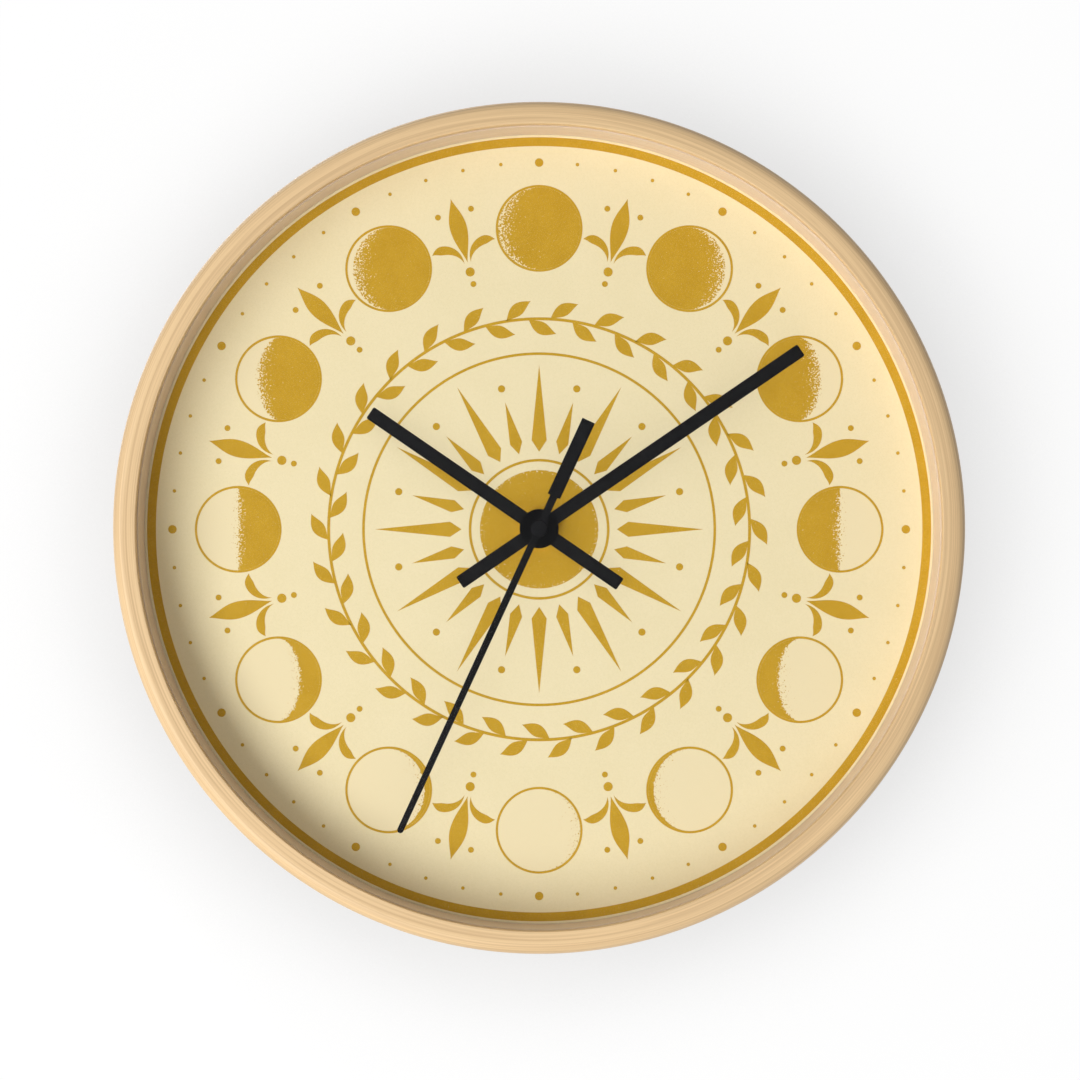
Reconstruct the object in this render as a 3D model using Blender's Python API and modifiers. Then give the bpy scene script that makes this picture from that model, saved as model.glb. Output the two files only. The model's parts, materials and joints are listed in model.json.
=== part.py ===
"""Moon phase wall clock: a turned wooden ring round a printed dial, with a quartz movement behind it.

Metres. The clock hangs on a wall at y = 0 and faces -Y, and the world origin is the nail that it hangs on.
Every piece is modelled as if the clock lay on its back on a bench: x runs to the right, y runs up the dial
and z is the height above the wall. One empty on the arbor's axis, turned a quarter about X, stands this
bench frame up against the wall. The heights are stacked from the wall to the rim, one piece on the next.
"""

import math

import bmesh
import bpy
from mathutils import Euler, Matrix

CLEARANCE = 0.0003
MERGE_DISTANCE = 0.000001
OVERCUT = 0.001

RIM_SEGMENTS = 80
SMALL_SEGMENTS = 20
PIVOT_SEGMENTS = 8
CORNER_STEPS = 3
HALF_TURN_STEPS = 8
SHARP_ANGLE = 30

# Wooden ring, seen from the front as a plain band
FRAME_RADIUS = 0.127
FRAME_WALL = 0.0045
LIP_WIDTH = 0.0026
LIP_THICKNESS = 0.0025
FRONT_ROUND = 0.0028
REAR_ROUND = 0.0010
LIP_ROUND = 0.0004

# Layers that fill the ring
LENS_THICKNESS = 0.0020
DIAL_THICKNESS = 0.0004
BOARD_THICKNESS = 0.0030
LENS_ROOM = 0.0031

# Steel angles that hold the board, each with one screw into the ring
CLIP_COUNT = 4
CLIP_WIDTH = 0.0100
CLIP_THICKNESS = 0.0010
CLIP_REACH = 0.0120
CLIP_LENGTH = 0.0120
CLIP_BEND = 0.0016
CLIP_SCREW_DEPTH = 0.0072
SCREW_RADIUS = 0.0010
SCREW_HEAD_RADIUS = 0.0020
SCREW_HEAD_TOP_RADIUS = 0.0012
SCREW_HEAD_HEIGHT = 0.0012
SCREW_BITE = 0.0030

# Hanger: a steel strap clamped in front of the movement, with a keyhole for the nail's head
HOOK_TO_AXIS = 0.0500
HANGER_WIDTH = 0.0240
HANGER_THICKNESS = 0.0010
HANGER_TAIL = 0.0120
HANGER_RISE = 0.0320
HANGER_TOP_MARGIN = 0.0060
HANGER_BEND = 0.0018
HANGER_CORNER = 0.0050
NAIL_SLOT_RADIUS = 0.0025
NAIL_HEAD_RADIUS = 0.0050
NAIL_SLOT_LENGTH = 0.0085

# Fixing of the movement on the dial
WALL_ROOM = 0.0014
BUSHING_RADIUS = 0.0038
BUSHING_PROUD = 0.0010
RUBBER_THICKNESS = 0.0006
RUBBER_RADIUS = 0.0090
WASHER_THICKNESS = 0.0005
WASHER_RADIUS = 0.0056
NUT_THICKNESS = 0.0023
NUT_ACROSS_FLATS = 0.0096

# Movement case, cover and bearing plate
CASE_WALL = 0.0012
CASE_TOP = 0.0280
CASE_CORNER = 0.0030
COVER_THICKNESS = 0.0012
PLATE_THICKNESS = 0.0012
POST_RADIUS = 0.0015
PEG_RADIUS = 0.0008
BAY_WALL = 0.0010
SNAP_WIDTH = 0.0050
SNAP_THICKNESS = 0.0010
SNAP_LENGTH = 0.0034
SNAP_CATCH = 0.0006
SNAP_CATCH_HEIGHT = 0.0012
SNAP_SIDE = 0.0160
SNAP_SIDE_LOW = 0.0115
FINGER_NOTCH_RADIUS = 0.0085

# Battery: one AA cell lying across the foot of the movement
BATTERY_RADIUS = 0.00705
BATTERY_LENGTH = 0.0504
BATTERY_NUB_RADIUS = 0.00275
BATTERY_NUB_LENGTH = 0.0012
BATTERY_EDGE = 0.0005
BATTERY_PLAY = 0.00112
CONTACT_THICKNESS = 0.0004
CONTACT_WIDTH = 0.0030
CONTACT_BULGE = 0.0010
CONTACT_BOW_REACH = 0.0042
CONTACT_BOW_FLAT = 0.0014
CONTACT_ROOM = 0.0004

# Train and hands: coaxial arbors, each inside the next
ARBOR_RADIUS = 0.0005
TUBE_WALL = 0.0007
WHEEL_THICKNESS = 0.0009
LAYER_GAP = 0.0006
PINION_OVERLAP = 0.0002
FLANGE_RADIUS = 0.0024
FLANGE_THICKNESS = 0.0006
BOSS_RADIUS = 0.0016
BOSS_HEIGHT = 0.0010
PIVOT_DEPTH = 0.0008
KNOB_RADIUS = 0.0055
KNOB_THICKNESS = 0.0030
KNOB_FLUTES = 16
KNOB_FLUTE_DEPTH = 0.0004
KNOB_SHAFT_RADIUS = 0.0010

# Teeth, as shares of the module and of the pitch. They are slim, so mates never touch
ADDENDUM = 0.80
DEDENDUM = 1.20
ROOT_HALF = 0.250
TIP_HALF = 0.095

ROTOR_PINION_TEETH = 6
INTERMEDIATE_TEETH = 30
INTERMEDIATE_PINION_TEETH = 8
SECOND_TEETH = 48
SECOND_PINION_TEETH = 6
THIRD_TEETH = 48
THIRD_PINION_TEETH = 6
CENTRE_TEETH = 45
CANNON_TEETH = 12
MOTION_TEETH = 36
MOTION_PINION_TEETH = 10
HOUR_TEETH = 40
KNOB_TEETH = 12

# Modules. Two pairs share each of the third wheel's and the motion wheel's centre distances
ROTOR_MODULE = 0.0004167
SECOND_MODULE = 0.000325
THIRD_MODULE = 0.0003333
CENTRE_MODULE = THIRD_MODULE * (THIRD_TEETH + SECOND_PINION_TEETH) / (CENTRE_TEETH + THIRD_PINION_TEETH)
CANNON_MODULE = 0.000350
HOUR_MODULE = CANNON_MODULE * (MOTION_TEETH + CANNON_TEETH) / (HOUR_TEETH + MOTION_PINION_TEETH)

# Directions between arbors, in degrees from +x, anticlockwise as seen from the front
INTERMEDIATE_DIRECTION = 35
ROTOR_DIRECTION = 50
THIRD_DIRECTION = 170
MOTION_DIRECTION = 110
KNOB_DIRECTION = 155

# Stepping motor and circuit
MAGNET_RADIUS = 0.0028
MAGNET_LENGTH = 0.0028
STATOR_THICKNESS = 0.0010
STATOR_EYE_RADIUS = 0.0056
STATOR_HOLE_RADIUS = 0.0033
STATOR_BAR = 0.0026
STATOR_ARM = 0.0035
STATOR_NECK = 0.0007
STATOR_NOTCH = 0.0008
STATOR_LEFT = -0.0150
STATOR_RIGHT = 0.0180
CORE_WIDTH = 0.0024
CORE_THICKNESS = 0.0010
BOBBIN_HUB_RADIUS = 0.0022
BOBBIN_FLANGE_RADIUS = 0.0040
BOBBIN_FLANGE = 0.0008
WINDING_INSET = 0.0003
CIRCUIT_THICKNESS = 0.0010
CIRCUIT_TOP = 0.0160
CRYSTAL_RADIUS = 0.0015
CRYSTAL_LENGTH = 0.0080
CHIP_RADIUS = 0.0025
CHIP_HEIGHT = 0.0012

# Hands: flat black bars, lengths from the arbor's axis
HUB_RADIUS = 0.0059
HAND_THICKNESS = 0.0006
HAND_WIDTH = 0.0041
HAND_CORNER = 0.0005
HOUR_HAND_TIP = 0.0619
HOUR_HAND_TAIL = 0.0296
MINUTE_HAND_TIP = 0.0954
MINUTE_HAND_TAIL = 0.0289
COLLET_WALL = 0.0009
COLLET_LENGTH = 0.0010
SECOND_HAND_THICKNESS = 0.0005
SECOND_HAND_TIP = 0.1006
SECOND_HAND_TAIL = 0.0356
SECOND_HAND_NECK = 0.0106
SECOND_HAND_WIDTH = 0.0022
SECOND_HAND_TIP_WIDTH = 0.0019
SECOND_CAP_RADIUS = 0.0025
SECOND_CAP_LENGTH = 0.0022
SECOND_CAP_FACE = 0.0003
HAND_SPACING = 0.0016

# The time shown is 10:09:34, in degrees clockwise from twelve
HOUR_HAND_ANGLE = 304.5
MINUTE_HAND_ANGLE = 55.7
SECOND_HAND_ANGLE = 204.7

# Radii that follow from the sizes above
REBATE_RADIUS = FRAME_RADIUS - FRAME_WALL
MOUTH_RADIUS = REBATE_RADIUS - LIP_WIDTH
FILL_RADIUS = REBATE_RADIUS - CLEARANCE
MINUTE_TUBE_BORE = ARBOR_RADIUS + CLEARANCE
MINUTE_TUBE_RADIUS = MINUTE_TUBE_BORE + TUBE_WALL
HOUR_TUBE_BORE = MINUTE_TUBE_RADIUS + CLEARANCE
HOUR_TUBE_RADIUS = HOUR_TUBE_BORE + TUBE_WALL
BUSHING_BORE = HOUR_TUBE_RADIUS + CLEARANCE
BUSHING_HOLE = BUSHING_RADIUS + CLEARANCE
PIVOT_HOLE = ARBOR_RADIUS + CLEARANCE
KNOB_HOLE = KNOB_SHAFT_RADIUS + CLEARANCE

# Heights above the wall, from the setting knob forward to the rim
KNOB_REAR = WALL_ROOM
KNOB_FRONT = KNOB_REAR + KNOB_THICKNESS
CASE_REAR = KNOB_FRONT + CLEARANCE
COVER_FRONT = CASE_REAR + COVER_THICKNESS
INTERMEDIATE_REAR = COVER_FRONT + LAYER_GAP
INTERMEDIATE_FRONT = INTERMEDIATE_REAR + WHEEL_THICKNESS
SECOND_REAR = INTERMEDIATE_FRONT + LAYER_GAP
SECOND_FRONT = SECOND_REAR + WHEEL_THICKNESS
THIRD_REAR = SECOND_FRONT + LAYER_GAP
THIRD_FRONT = THIRD_REAR + WHEEL_THICKNESS
FLANGE_REAR = THIRD_FRONT + PINION_OVERLAP + CLEARANCE
FLANGE_FRONT = FLANGE_REAR + FLANGE_THICKNESS
CENTRE_REAR = FLANGE_FRONT + CLEARANCE
CENTRE_FRONT = CENTRE_REAR + WHEEL_THICKNESS
PLATE_REAR = CENTRE_FRONT + LAYER_GAP
PLATE_FRONT = PLATE_REAR + PLATE_THICKNESS
MOTION_REAR = PLATE_FRONT + LAYER_GAP
MOTION_FRONT = MOTION_REAR + WHEEL_THICKNESS
HOUR_REAR = MOTION_FRONT + LAYER_GAP
HOUR_FRONT = HOUR_REAR + WHEEL_THICKNESS
CHAMBER_FRONT = HOUR_FRONT + LAYER_GAP
CASE_FRONT = CHAMBER_FRONT + CASE_WALL
HANGER_REAR = CASE_FRONT + CLEARANCE
HANGER_FRONT = HANGER_REAR + HANGER_THICKNESS
RUBBER_REAR = HANGER_FRONT + CLEARANCE
RUBBER_FRONT = RUBBER_REAR + RUBBER_THICKNESS
BOARD_REAR = RUBBER_FRONT + CLEARANCE
BOARD_FRONT = BOARD_REAR + BOARD_THICKNESS
DIAL_REAR = BOARD_FRONT + CLEARANCE
DIAL_FRONT = DIAL_REAR + DIAL_THICKNESS
WASHER_REAR = DIAL_FRONT + CLEARANCE
WASHER_FRONT = WASHER_REAR + WASHER_THICKNESS
NUT_REAR = WASHER_FRONT + CLEARANCE
NUT_FRONT = NUT_REAR + NUT_THICKNESS
BUSHING_END = NUT_FRONT + BUSHING_PROUD
COLLET_REAR = BUSHING_END + CLEARANCE
HOUR_HAND_REAR = COLLET_REAR + COLLET_LENGTH
HOUR_HAND_FRONT = HOUR_HAND_REAR + HAND_THICKNESS
HOUR_TUBE_END = HOUR_HAND_FRONT + CLEARANCE
MINUTE_HAND_REAR = HOUR_HAND_FRONT + HAND_SPACING
MINUTE_HAND_FRONT = MINUTE_HAND_REAR + HAND_THICKNESS
MINUTE_TUBE_END = MINUTE_HAND_FRONT + CLEARANCE
SECOND_CAP_REAR = MINUTE_TUBE_END + CLEARANCE * 2
SECOND_CAP_FRONT = SECOND_CAP_REAR + SECOND_CAP_LENGTH
SECOND_HAND_REAR = (SECOND_CAP_REAR + SECOND_CAP_FRONT - SECOND_HAND_THICKNESS) / 2
SECOND_ARBOR_END = SECOND_CAP_FRONT - SECOND_CAP_FACE - CLEARANCE
LENS_REAR = SECOND_CAP_FRONT + LENS_ROOM
LENS_FRONT = LENS_REAR + LENS_THICKNESS
LIP_REAR = LENS_FRONT + CLEARANCE
FRAME_FRONT = LIP_REAR + LIP_THICKNESS

# Places in the bench frame: the case, the cell across its foot, and the train's arbors
CENTRE_TIP_RADIUS = CENTRE_MODULE * (CENTRE_TEETH / 2 + ADDENDUM)
CHAMBER_FLOOR = -(CENTRE_TIP_RADIUS + CONTACT_THICKNESS + 3 * CLEARANCE)
BAY_TOP = CHAMBER_FLOOR - BAY_WALL
BAY_BOTTOM = BAY_TOP - 2 * (BATTERY_RADIUS + BATTERY_PLAY)
CASE_BOTTOM = BAY_BOTTOM - CASE_WALL
CHAMBER_TOP = CASE_TOP - CASE_WALL
COIL_Y = CHAMBER_TOP - SNAP_THICKNESS - 2 * CLEARANCE - BOBBIN_FLANGE_RADIUS
LEFT_CONTACT_ROOM = 2 * CLEARANCE + CONTACT_THICKNESS + CONTACT_BULGE
RIGHT_CONTACT_ROOM = CLEARANCE + CONTACT_THICKNESS + CONTACT_ROOM
INNER_HALF_WIDTH = (BATTERY_LENGTH + LEFT_CONTACT_ROOM + RIGHT_CONTACT_ROOM) / 2
CASE_HALF_WIDTH = INNER_HALF_WIDTH + CASE_WALL
BATTERY_LEFT = LEFT_CONTACT_ROOM - INNER_HALF_WIDTH
BATTERY_Y = (BAY_TOP + BAY_BOTTOM) / 2
BATTERY_HEIGHT = CHAMBER_FRONT - CLEARANCE - BATTERY_RADIUS
CIRCUIT_FRONT = THIRD_REAR
CIRCUIT_REAR = CIRCUIT_FRONT - CIRCUIT_THICKNESS
CONTACT_REAR = CIRCUIT_FRONT + CLEARANCE
CONTACT_FRONT = CONTACT_REAR + CONTACT_WIDTH
MAGNET_REAR = SECOND_REAR + PINION_OVERLAP
MAGNET_FRONT = MAGNET_REAR + MAGNET_LENGTH
STATOR_REAR = (MAGNET_REAR + MAGNET_FRONT - STATOR_THICKNESS) / 2
STATOR_FRONT = STATOR_REAR + STATOR_THICKNESS
CORE_REAR = STATOR_FRONT + CLEARANCE
CORE_FRONT = CORE_REAR + CORE_THICKNESS


def polar(distance, degrees, centre=(0, 0)):
    """The point at a distance and a direction from a centre."""
    angle = math.radians(degrees)
    return centre[0] + distance * math.cos(angle), centre[1] + distance * math.sin(angle)


def centres_apart(module, teeth, mate_teeth):
    return module * (teeth + mate_teeth) / 2


INTERMEDIATE_AT = polar(
    centres_apart(SECOND_MODULE, SECOND_TEETH, INTERMEDIATE_PINION_TEETH), INTERMEDIATE_DIRECTION
)
ROTOR_AT = polar(
    centres_apart(ROTOR_MODULE, INTERMEDIATE_TEETH, ROTOR_PINION_TEETH), ROTOR_DIRECTION, INTERMEDIATE_AT
)
THIRD_AT = polar(centres_apart(THIRD_MODULE, THIRD_TEETH, SECOND_PINION_TEETH), THIRD_DIRECTION)
MOTION_AT = polar(centres_apart(CANNON_MODULE, MOTION_TEETH, CANNON_TEETH), MOTION_DIRECTION)
KNOB_AT = polar(centres_apart(CANNON_MODULE, MOTION_TEETH, KNOB_TEETH), KNOB_DIRECTION, MOTION_AT)

CIRCUIT_LEFT = CLEARANCE - INNER_HALF_WIDTH
CIRCUIT_RIGHT = THIRD_AT[0] - THIRD_MODULE * (THIRD_TEETH / 2 + ADDENDUM) - 2 * CLEARANCE
PLATE_LEFT = CIRCUIT_RIGHT + CLEARANCE
POST_INSET = POST_RADIUS + CLEARANCE
PLATE_RIGHT = STATOR_RIGHT + 2 * POST_INSET + 2 * CLEARANCE
PLATE_BOTTOM = CHAMBER_FLOOR + CONTACT_THICKNESS + 3 * CLEARANCE
PLATE_TOP = KNOB_AT[1] + KNOB_HOLE + CLEARANCE
PLATE_POSTS = [
    (PLATE_LEFT + POST_INSET, PLATE_BOTTOM + POST_INSET),
    (PLATE_RIGHT - POST_INSET, PLATE_BOTTOM + POST_INSET),
    (PLATE_LEFT + POST_INSET, PLATE_TOP - POST_INSET),
    (PLATE_RIGHT - POST_INSET, PLATE_TOP - POST_INSET),
]
STATOR_POSTS = [
    (STATOR_LEFT + STATOR_ARM / 2, COIL_Y),
    (STATOR_RIGHT - STATOR_ARM / 2, COIL_Y),
]


# Outlines: lists of points, anticlockwise


def circle(radius, segments=SMALL_SEGMENTS, centre=(0, 0)):
    return [polar(radius, 360 * i / segments, centre) for i in range(segments)]


def arc(centre, radius, start, end, steps):
    """Points on an arc from one direction to another, both ends included."""
    return [polar(radius, start + (end - start) * i / steps, centre) for i in range(steps + 1)]


def rounded_rectangle(left, right, bottom, top, radii):
    """radii: the corner radius, or one for each corner from the lower left, anticlockwise."""
    if not isinstance(radii, tuple):
        radii = (radii,) * 4
    corners = [(left, bottom, 1, 1), (right, bottom, -1, 1), (right, top, -1, -1), (left, top, 1, -1)]
    points = []
    for i, (x, y, inward_x, inward_y) in enumerate(corners):
        radius = radii[i]
        if radius == 0:
            points.append((x, y))
            continue
        centre = (x + inward_x * radius, y + inward_y * radius)
        points += arc(centre, radius, 180 + 90 * i, 270 + 90 * i, CORNER_STEPS)
    return points


def band(path, thickness):
    """The outline of a strip of even thickness whose middle follows the path."""
    left = []
    right = []
    for i, (x, y) in enumerate(path):
        before = path[max(i - 1, 0)]
        after = path[min(i + 1, len(path) - 1)]
        way_in = math.atan2(y - before[1], x - before[0])
        way_out = math.atan2(after[1] - y, after[0] - x)
        if i == 0:
            way_in = way_out
        if i == len(path) - 1:
            way_out = way_in
        half_turn = math.remainder(way_out - way_in, math.tau) / 2
        square = way_in + half_turn + math.pi / 2
        reach = thickness / 2 / math.cos(half_turn)
        left.append((x + reach * math.cos(square), y + reach * math.sin(square)))
        right.append((x - reach * math.cos(square), y - reach * math.sin(square)))
    return right + left[::-1]


def gear_outline(teeth, module, tooth_at):
    """Straight-flanked teeth, with one of them centred on the direction tooth_at."""
    tip = module * (teeth / 2 + ADDENDUM)
    root = module * (teeth / 2 - DEDENDUM)
    pitch = 360 / teeth
    points = []
    for i in range(teeth):
        middle = tooth_at + i * pitch
        for radius, share in ((root, -ROOT_HALF), (tip, -TIP_HALF), (tip, TIP_HALF), (root, ROOT_HALF)):
            points.append(polar(radius, middle + share * pitch))
    return points


def mating_tooth(direction, teeth, mate_teeth, mate_tooth_at):
    """Where a gear's tooth stands when its gap takes the mate's tooth nearest to the line of centres.

    direction runs from the mate to this gear.
    """
    mate_pitch = 360 / mate_teeth
    offset = (mate_tooth_at - direction + mate_pitch / 2) % mate_pitch - mate_pitch / 2
    return direction + 180 - offset * mate_teeth / teeth + 180 / teeth


# Building tools


def empty_scene():
    for old in list(bpy.data.objects):
        bpy.data.objects.remove(old, do_unlink=True)


def new_collection(name):
    collection = bpy.data.collections.new(name)
    bpy.context.scene.collection.children.link(collection)
    return collection


def shaded(mesh):
    mesh.shade_smooth()
    mesh.set_sharp_from_angle(angle=math.radians(SHARP_ANGLE))


def solid_from(maker):
    """The closed mesh object that a curve or a modified profile makes, in its place."""
    bpy.context.scene.collection.objects.link(maker)
    bpy.context.view_layer.update()
    evaluated = maker.evaluated_get(bpy.context.evaluated_depsgraph_get())
    mesh = bpy.data.meshes.new_from_object(evaluated)
    editor = bmesh.new()
    editor.from_mesh(mesh)
    bmesh.ops.remove_doubles(editor, verts=editor.verts, dist=MERGE_DISTANCE)
    bmesh.ops.recalc_face_normals(editor, faces=editor.faces)
    editor.to_mesh(mesh)
    editor.free()
    shaded(mesh)
    name = maker.name
    bpy.data.objects.remove(maker)
    return bpy.data.objects.new(name, mesh)


def slab(name, loops, low, high):
    """A flat piece: the first loop is its outline, and the others are holes through it."""
    curve = bpy.data.curves.new(name, "CURVE")
    curve.dimensions = "2D"
    curve.fill_mode = "BOTH"
    curve.extrude = (high - low) / 2
    for loop in loops:
        spline = curve.splines.new("POLY")
        spline.points.add(len(loop) - 1)
        spline.use_cyclic_u = True
        for point, (x, y) in zip(spline.points, loop):
            point.co = (x, y, 0, 1)
    return posed(solid_from(bpy.data.objects.new(name, curve)), (0, 0, 0), (0, 0, (low + high) / 2))


def posed(piece, degrees, place):
    """Turns and moves a piece's mesh, and leaves its origin where it is."""
    turn = Euler([math.radians(angle) for angle in degrees]).to_matrix().to_4x4()
    piece.data.transform(Matrix.Translation(place) @ turn)
    return piece


def turned(name, profile, segments=SMALL_SEGMENTS):
    """A piece turned from (radius, height) points down its outer side: a ring, or solid up to the axis."""
    mesh = bpy.data.meshes.new(name)
    edges = [(i, i + 1) for i in range(len(profile) - 1)]
    if profile[0][0] > 0:
        edges.append((len(profile) - 1, 0))
    mesh.from_pydata([(radius, 0, height) for radius, height in profile], edges, [])
    piece = bpy.data.objects.new(name, mesh)
    screw = piece.modifiers.new("Turn", "SCREW")
    screw.steps = segments
    screw.render_steps = segments
    screw.use_merge_vertices = True
    screw.merge_threshold = MERGE_DISTANCE
    return solid_from(piece)


def rod(name, radius, low, high, segments=SMALL_SEGMENTS):
    return turned(name, [(0, high), (radius, high), (radius, low), (0, low)], segments)


def tube(name, radius, bore, low, high, segments=SMALL_SEGMENTS):
    return turned(name, [(bore, high), (radius, high), (radius, low), (bore, low)], segments)


def block(name, left, right, bottom, top, low, high):
    """A box between three pairs of limits."""
    editor = bmesh.new()
    bmesh.ops.create_cube(editor, size=1)
    for vertex in editor.verts:
        for axis, (least, most) in enumerate(((left, right), (bottom, top), (low, high))):
            vertex.co[axis] = most if vertex.co[axis] > 0 else least
    mesh = bpy.data.meshes.new(name)
    editor.to_mesh(mesh)
    editor.free()
    return bpy.data.objects.new(name, mesh)


def moved(piece, x, y):
    """Moves a piece together with its origin, which then stands on its own axis."""
    piece.location.x = x
    piece.location.y = y
    return piece


def boolean(piece, tool, operation):
    """Adds a tool to a piece or takes it away. The tool is placed from the piece's origin."""
    tool.name = f"{piece.name}_{operation.lower()}_{len(piece.modifiers) + 1}"
    tool.hide_render = True
    tool.display_type = "WIRE"
    tool.parent = piece
    cutters.objects.link(tool)
    modifier = piece.modifiers.new(tool.name, "BOOLEAN")
    modifier.operation = operation
    modifier.solver = "EXACT"
    modifier.object = tool


def cut(piece, tool):
    boolean(piece, tool, "DIFFERENCE")


def join(piece, tool):
    boolean(piece, tool, "UNION")


FINISHES = {
    "bamboo": ((0.72, 0.50, 0.29), 0.55, 0.0),
    "acrylic": ((0.95, 0.97, 0.98), 0.05, 0.0),
    "print": ((0.90, 0.80, 0.50), 0.60, 0.0),
    "hardboard": ((0.30, 0.18, 0.10), 0.85, 0.0),
    "steel": ((0.55, 0.56, 0.57), 0.35, 1.0),
    "brass": ((0.80, 0.62, 0.28), 0.30, 1.0),
    "rubber": ((0.03, 0.03, 0.03), 0.90, 0.0),
    "black_plastic": ((0.02, 0.02, 0.02), 0.50, 0.0),
    "white_plastic": ((0.85, 0.84, 0.80), 0.45, 0.0),
    "black_paint": ((0.012, 0.012, 0.013), 0.45, 0.0),
    "magnet": ((0.16, 0.16, 0.17), 0.50, 1.0),
    "copper": ((0.72, 0.33, 0.18), 0.35, 1.0),
    "circuit": ((0.05, 0.22, 0.10), 0.50, 0.0),
    "cell": ((0.18, 0.19, 0.21), 0.35, 0.4),
}


def finish(piece, finish_name):
    """Gives a piece its own material, stands it up with the bench and files it with the parts."""
    colour, roughness, metallic = FINISHES[finish_name]
    material = bpy.data.materials.new(f"{piece.name}_{finish_name}")
    material.use_nodes = True
    shader = material.node_tree.nodes["Principled BSDF"]
    shader.inputs["Base Color"].default_value = (*colour, 1)
    shader.inputs["Roughness"].default_value = roughness
    shader.inputs["Metallic"].default_value = metallic
    piece.data.materials.clear()
    piece.data.materials.append(material)
    piece.parent = bench
    parts.objects.link(piece)
    return piece


# The ring and what fills it


def wood_frame():
    """A ring turned from bamboo ply: a rounded front, and a rebate from behind that leaves a thin lip."""
    face = FRAME_FRONT
    profile = arc((MOUTH_RADIUS + LIP_ROUND, face - LIP_ROUND), LIP_ROUND, 180, 90, 1)
    profile += arc((FRAME_RADIUS - FRONT_ROUND, face - FRONT_ROUND), FRONT_ROUND, 90, 0, CORNER_STEPS)
    profile += arc((FRAME_RADIUS - REAR_ROUND, REAR_ROUND), REAR_ROUND, 0, -90, 1)
    profile += [(REBATE_RADIUS, 0), (REBATE_RADIUS, LIP_REAR), (MOUTH_RADIUS, LIP_REAR)]
    ring = turned("wood_frame", profile, RIM_SEGMENTS)
    for i in range(CLIP_COUNT):
        cut(ring, clip_screw_hole(clip_direction(i)))
    finish(ring, "bamboo")


def front_lens():
    finish(rod("front_lens", FILL_RADIUS, LENS_REAR, LENS_FRONT, RIM_SEGMENTS), "acrylic")


def spacer_ring():
    """Holds the lens against the lip, and stands on the dial. It is the inner wall that shows."""
    low = DIAL_FRONT + CLEARANCE
    high = LENS_REAR - CLEARANCE
    finish(tube("spacer_ring", FILL_RADIUS, MOUTH_RADIUS, low, high, RIM_SEGMENTS), "bamboo")


def dial_sheet():
    loops = [circle(FILL_RADIUS, RIM_SEGMENTS), circle(BUSHING_HOLE)]
    finish(slab("dial_sheet", loops, DIAL_REAR, DIAL_FRONT), "print")


def backing_board():
    loops = [circle(FILL_RADIUS, RIM_SEGMENTS), circle(BUSHING_HOLE)]
    finish(slab("backing_board", loops, BOARD_REAR, BOARD_FRONT), "hardboard")


# The angles behind the board and their screws

CLIP_FRONT = BOARD_REAR - CLEARANCE
CLIP_OUTER = math.sqrt(REBATE_RADIUS**2 - (CLIP_WIDTH / 2) ** 2) - CLEARANCE
CLIP_SCREW_HEIGHT = CLIP_FRONT - CLIP_SCREW_DEPTH


def clip_direction(index):
    return 360 * (index + 0.5) / CLIP_COUNT


def stand_radially(piece, direction, place=(0, 0, 0)):
    """Turns a slab so that its x runs outwards in that direction and its y runs forward."""
    return posed(piece, (90, 0, direction), place)


def point_outwards(piece, direction, height):
    """Lays a turned piece's axis outwards in that direction, at a height above the wall."""
    return posed(piece, (0, 90, direction), (0, 0, height))


def clip_screw_hole(degrees):
    hole = rod(
        "screw_hole",
        SCREW_RADIUS + CLEARANCE,
        CLIP_OUTER - OVERCUT,
        CLIP_OUTER + SCREW_BITE + 2 * CLEARANCE,
        PIVOT_SEGMENTS,
    )
    return point_outwards(hole, degrees, CLIP_SCREW_HEIGHT)


def board_clip(index):
    """A bent steel angle: one leg lies on the board, and the other stands along the ring's inner wall."""
    middle = CLIP_THICKNESS / 2
    radial = CLIP_OUTER - middle
    height = CLIP_FRONT - middle
    path = [(CLIP_OUTER - CLIP_REACH, height)]
    path += arc((radial - CLIP_BEND, height - CLIP_BEND), CLIP_BEND, 90, 0, CORNER_STEPS)
    path += [(radial, CLIP_FRONT - CLIP_LENGTH)]
    half = CLIP_WIDTH / 2
    clip = slab(f"board_clip_{index + 1}", [band(path, CLIP_THICKNESS)], -half, half)
    stand_radially(clip, clip_direction(index))
    hole = rod("hole", SCREW_RADIUS + CLEARANCE, radial - OVERCUT, radial + OVERCUT, PIVOT_SEGMENTS)
    cut(clip, point_outwards(hole, clip_direction(index), CLIP_SCREW_HEIGHT))
    finish(clip, "steel")


def clip_screw(index):
    """A pan-head screw, driven outwards through the angle into the ring."""
    seat = CLIP_OUTER - CLIP_THICKNESS - CLEARANCE
    head = seat - SCREW_HEAD_HEIGHT
    tip = CLIP_OUTER + SCREW_BITE
    profile = [
        (0, tip),
        (SCREW_RADIUS, tip - SCREW_RADIUS),
        (SCREW_RADIUS, seat),
        (SCREW_HEAD_RADIUS, seat),
        (SCREW_HEAD_RADIUS, head + SCREW_HEAD_HEIGHT / 2),
        (SCREW_HEAD_TOP_RADIUS, head),
        (0, head),
    ]
    screw = turned(f"clip_screw_{index + 1}", profile, PIVOT_SEGMENTS)
    finish(point_outwards(screw, clip_direction(index), CLIP_SCREW_HEIGHT), "steel")


# The hanger and the fixing on the dial


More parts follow.
